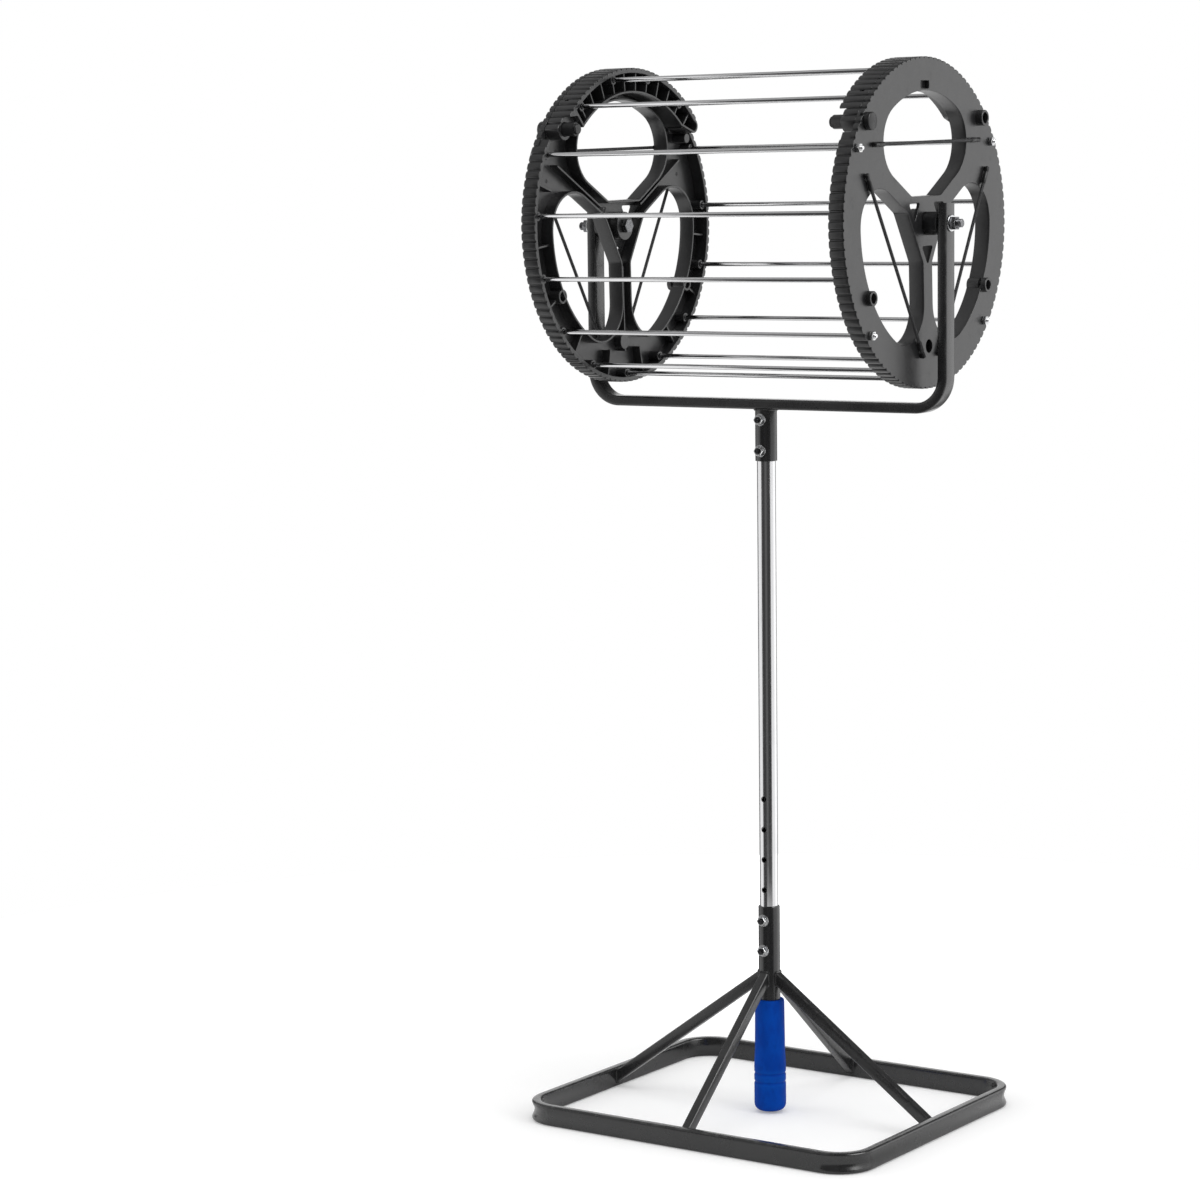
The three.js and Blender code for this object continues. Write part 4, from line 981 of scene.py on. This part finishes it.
# The lands a hand holds carry the painted sheen
painted_sheen_lands = [k for k, (r, z) in enumerate(grip) if 43 > z > 27 and r > 15.6]
add_piece("dipped_grip", lathe(grip, 96, worn_and_highlit=painted_sheen_lands), "stand", "grip_rubber", ["grip"], sharp=60)

# Yoke: stations along the tube as X, Z, turn and how far the section is drawn in
half, bar_z = DRUM_HALF + 15 + YOKE_T / 2, YOKE_BAR_TOP - YOKE_T / 2
ends = [2.2 * (1 - math.sin(math.pi / 2 * k / 5)) for k in range(6)]
stations = [(half, YOKE_TOP - drawn, 0, min(drawn, 2.0)) for drawn in ends]
for s, start in ((1, 0), (-1, 90)):
    for k in range(25):
        angle = start + 90 * k / 24
        ox, oy = polar(YOKE_BEND, -angle)
        stations.append((s * (half - YOKE_BEND) + ox, bar_z + YOKE_BEND + oy, angle, 0))
stations += [(-half, YOKE_TOP - drawn, 180, min(drawn, 2.0)) for drawn in reversed(ends)]
# The section's rounded corners carry the mark for rubbed wear and a painted edge highlight
rings, wear = [], []
for x, z, angle, drawn in stations:
    ox, oy = polar(1, -angle)
    outline = rounded_rectangle(YOKE_T / 2 - drawn, YOKE_W / 2 - drawn, 2.4 - drawn)
    rings.append([Vector((x + ox * u, v, z + oy * u)) for u, v in outline])
    wear += [1.0 if abs(u) > 3.6 and abs(v) > 7.6 else 0.0 for u, v in outline]
add_piece("bent_yoke", loft(rings, False, wear), "stand", "frame_paint", ["yoke"])

# Cross bolts of the sleeve and the socket
BOLT_DOME = [(0, -2.6), (1.6, -2.6), (2.8, -2.3), (3.8, -1.6), (4.3, -0.7), (4.4, 0), (2.5, 0)]
NUT_SEAT = [(2.9, 0), (5.8, 0), (6.0, 0.2), (6.0, 0.9), (5.8, 1.1), (2.9, 1.1)]
for place, heights in (("base", BASE_BOLTS), ("socket", SOCKET_BOLTS)):
    for level, height in zip(("lower", "upper"), heights):
        bolt = lathe(BOLT_DOME + threaded_end(2.5, 20, 29.5, 0.8), 36)
        bolt = bolt.moved(Matrix.Translation((0, BOLT_FACE, height)) @ lying)
        add_piece(f"oxide_{place}_bolt_{level}", bolt, "stand", "black_steel",
                  [f"{place}_bolt_{level}"])
        nut = lathe(NUT_SEAT, 48, True).join(hexagon(4.9, 1.1, 5.1, 2.6, 0.6))
        nut = nut.moved(Matrix.Translation((0, -BOLT_FACE, height)) @ lying)
        add_piece(f"zinc_{place}_nut_{level}", nut, "stand", "zinc_steel",
                  [f"{place}_nut_{level}"])

CAMERA = Vector((1.7489, -2.8229, 0.8975))


# The room as reflections see it: white round the horizon, brightest at the back right, with a
# dark stretch at the front and two narrow dark strips at the back and left, a dim ceiling, and a
# lit panel high on the right
def room(t, direction):
    level = t.vector("NORMALIZE", t.vector("MULTIPLY", direction, (1, 1, 0)))

    def toward(target, low, high, start, end, source=level):
        aim = Vector(target).normalized()
        return t.ramp(t.vector("DOT_PRODUCT", source, aim), low, high, start, end)

    front = Matrix.Rotation(math.radians(-11), 3, "Z") @ Vector((CAMERA.x, CAMERA.y, 0))
    horizon = toward(front, 0.46, 0.62, 1.0, 0.05)
    for azimuth in (92, 160):
        strip = toward((*polar(1, azimuth), 0), 0.94, 0.985, 1.0, 0.12)
        horizon = t.maths("MULTIPLY", horizon, strip)
    for target, low, gain in ((front, 0.95, 0.07), ((*polar(1, 58), 0), 0.80, 0.38)):
        horizon = t.maths("ADD", horizon, toward(target, low, 1.0, 0.0, gain))
    sky = toward((-0.8, -0.25, 0.55), 0.50, 0.85, 0.12, 0.42, direction)
    panel = toward((0.8, 0.05, 0.6), 0.90, 0.965, 0.0, 5.0, direction)
    parts = t.make("ShaderNodeSeparateXYZ")
    t.feed(direction, parts.inputs[0])
    height = t.ramp(parts.outputs["Z"], 0.28, 0.50)
    low_part = t.maths("MULTIPLY", horizon, t.ramp(height, 0.0, 1.0, 1.0, 0.0))
    return t.maths("ADD", low_part, t.maths("MULTIPLY", t.maths("ADD", sky, panel), height))


# Floor: pale and plain, keeps the shadow, and ends in white for the camera. Reflections see it
# lit near the object, and the room further out.
floor_mesh = bpy.data.meshes.new("floor")
floor_edge = [(x, y, -0.0004) for x, y in circle(ORIGIN, 1.35, 96)]
floor_mesh.from_pydata(floor_edge, [], [tuple(range(96))])
floor = put("floor", floor_mesh)
floor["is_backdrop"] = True
floor_finish = bpy.data.materials.new("pale_floor")
floor_finish.use_nodes = True
floor_mesh.materials.append(floor_finish)
t = Tree(floor_finish.node_tree)
t.tree.nodes.clear()
where = t.make("ShaderNodeTexCoord").outputs["Object"]
distance = t.vector("LENGTH", where)
rays = t.make("ShaderNodeLightPath").outputs
matt = t.make("ShaderNodeBsdfDiffuse")
matt.inputs["Color"].default_value = (0.80, 0.80, 0.80, 1)
fade = t.maths("MULTIPLY", rays["Is Camera Ray"], t.ramp(distance, 0.25, 1.0, 0.24, 1.0))
lit = t.make("ShaderNodeAddShader")
t.feed(matt.outputs[0], lit.inputs[0])
t.feed(t.light("ShaderNodeEmission", fade), lit.inputs[1])
far_mirror = t.maths("MULTIPLY", rays["Is Glossy Ray"], t.ramp(distance, 0.28, 0.50))
seen_room = t.light("ShaderNodeEmission", room(t, where))
surface = t.mixed(far_mirror, lit.outputs[0], seen_room)
t.feed(surface, t.make("ShaderNodeOutputMaterial").inputs["Surface"])

# World: soft grey light, the room for reflections, and white for the camera
world = bpy.data.worlds.new("studio")
bpy.context.scene.world = world
world.use_nodes = True
t = Tree(world.node_tree)
t.tree.nodes.clear()
rays = t.make("ShaderNodeLightPath").outputs
around = room(t, t.make("ShaderNodeTexCoord").outputs["Generated"])
ambient, white, mirror = (t.light("ShaderNodeBackground", s) for s in (0.60, 1.0, around))
seen = t.maths("MAXIMUM", rays["Is Camera Ray"], rays["Is Transmission Ray"])
surface = t.mixed(seen, t.mixed(rays["Is Glossy Ray"], ambient, mirror), white)
t.feed(surface, t.make("ShaderNodeOutputWorld").inputs["Surface"])


# Lamps: a broad soft one above, a key on the right and a weak fill on the left. Reflections show
# the room instead of them.
def softbox(name, place, target, width, height, power):
    lamp = bpy.data.lights.new(name, "AREA")
    lamp.shape, lamp.size, lamp.size_y, lamp.energy = "RECTANGLE", width, height, power
    thing = put(name, lamp)
    thing.location = place
    thing.visible_glossy = False
    thing.rotation_mode = "QUATERNION"
    thing.rotation_quaternion = (Vector(target) - Vector(place)).to_track_quat("-Z", "Y")


softbox("top_softbox", (0.3, -0.2, 3.0), (0, 0, 0.6), 2.0, 2.0, 30)
softbox("key_softbox", (3.0, -0.2, 1.6), (0, 0, 0.7), 1.4, 1.9, 30)
softbox("fill_softbox", (-2.6, -1.8, 1.3), (0, 0, 0.6), 1.6, 1.6, 16)

# Camera: where the photograph was taken from, by its edges. The photo is 1200 pixels wide.
YAW, PITCH, ROLL, FOCAL_PIXELS, PHOTO_PIXELS = -0.604, 0.115, 0.012, 3407.5, 1200
level_forward = Vector((math.sin(YAW), math.cos(YAW), 0))
level_right = Vector((math.cos(YAW), -math.sin(YAW), 0))
forward = level_forward * math.cos(PITCH) - Vector((0, 0, math.sin(PITCH)))
level_down = forward.cross(level_right)
right = level_right * math.cos(ROLL) + level_down * math.sin(ROLL)
down = level_down * math.cos(ROLL) - level_right * math.sin(ROLL)
lens = bpy.data.cameras.new("camera")
lens.sensor_width, lens.lens = 36.0, 36.0 * FOCAL_PIXELS / PHOTO_PIXELS
lens.clip_start, lens.clip_end = 0.05, 60
camera = put("camera", lens)
columns = zip(right, -down, -forward, CAMERA)
camera.matrix_world = Matrix((*columns, (0, 0, 0, 1)))
bpy.context.scene.camera = camera
bpy.context.scene.view_settings.view_transform = "Standard"

low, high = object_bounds()
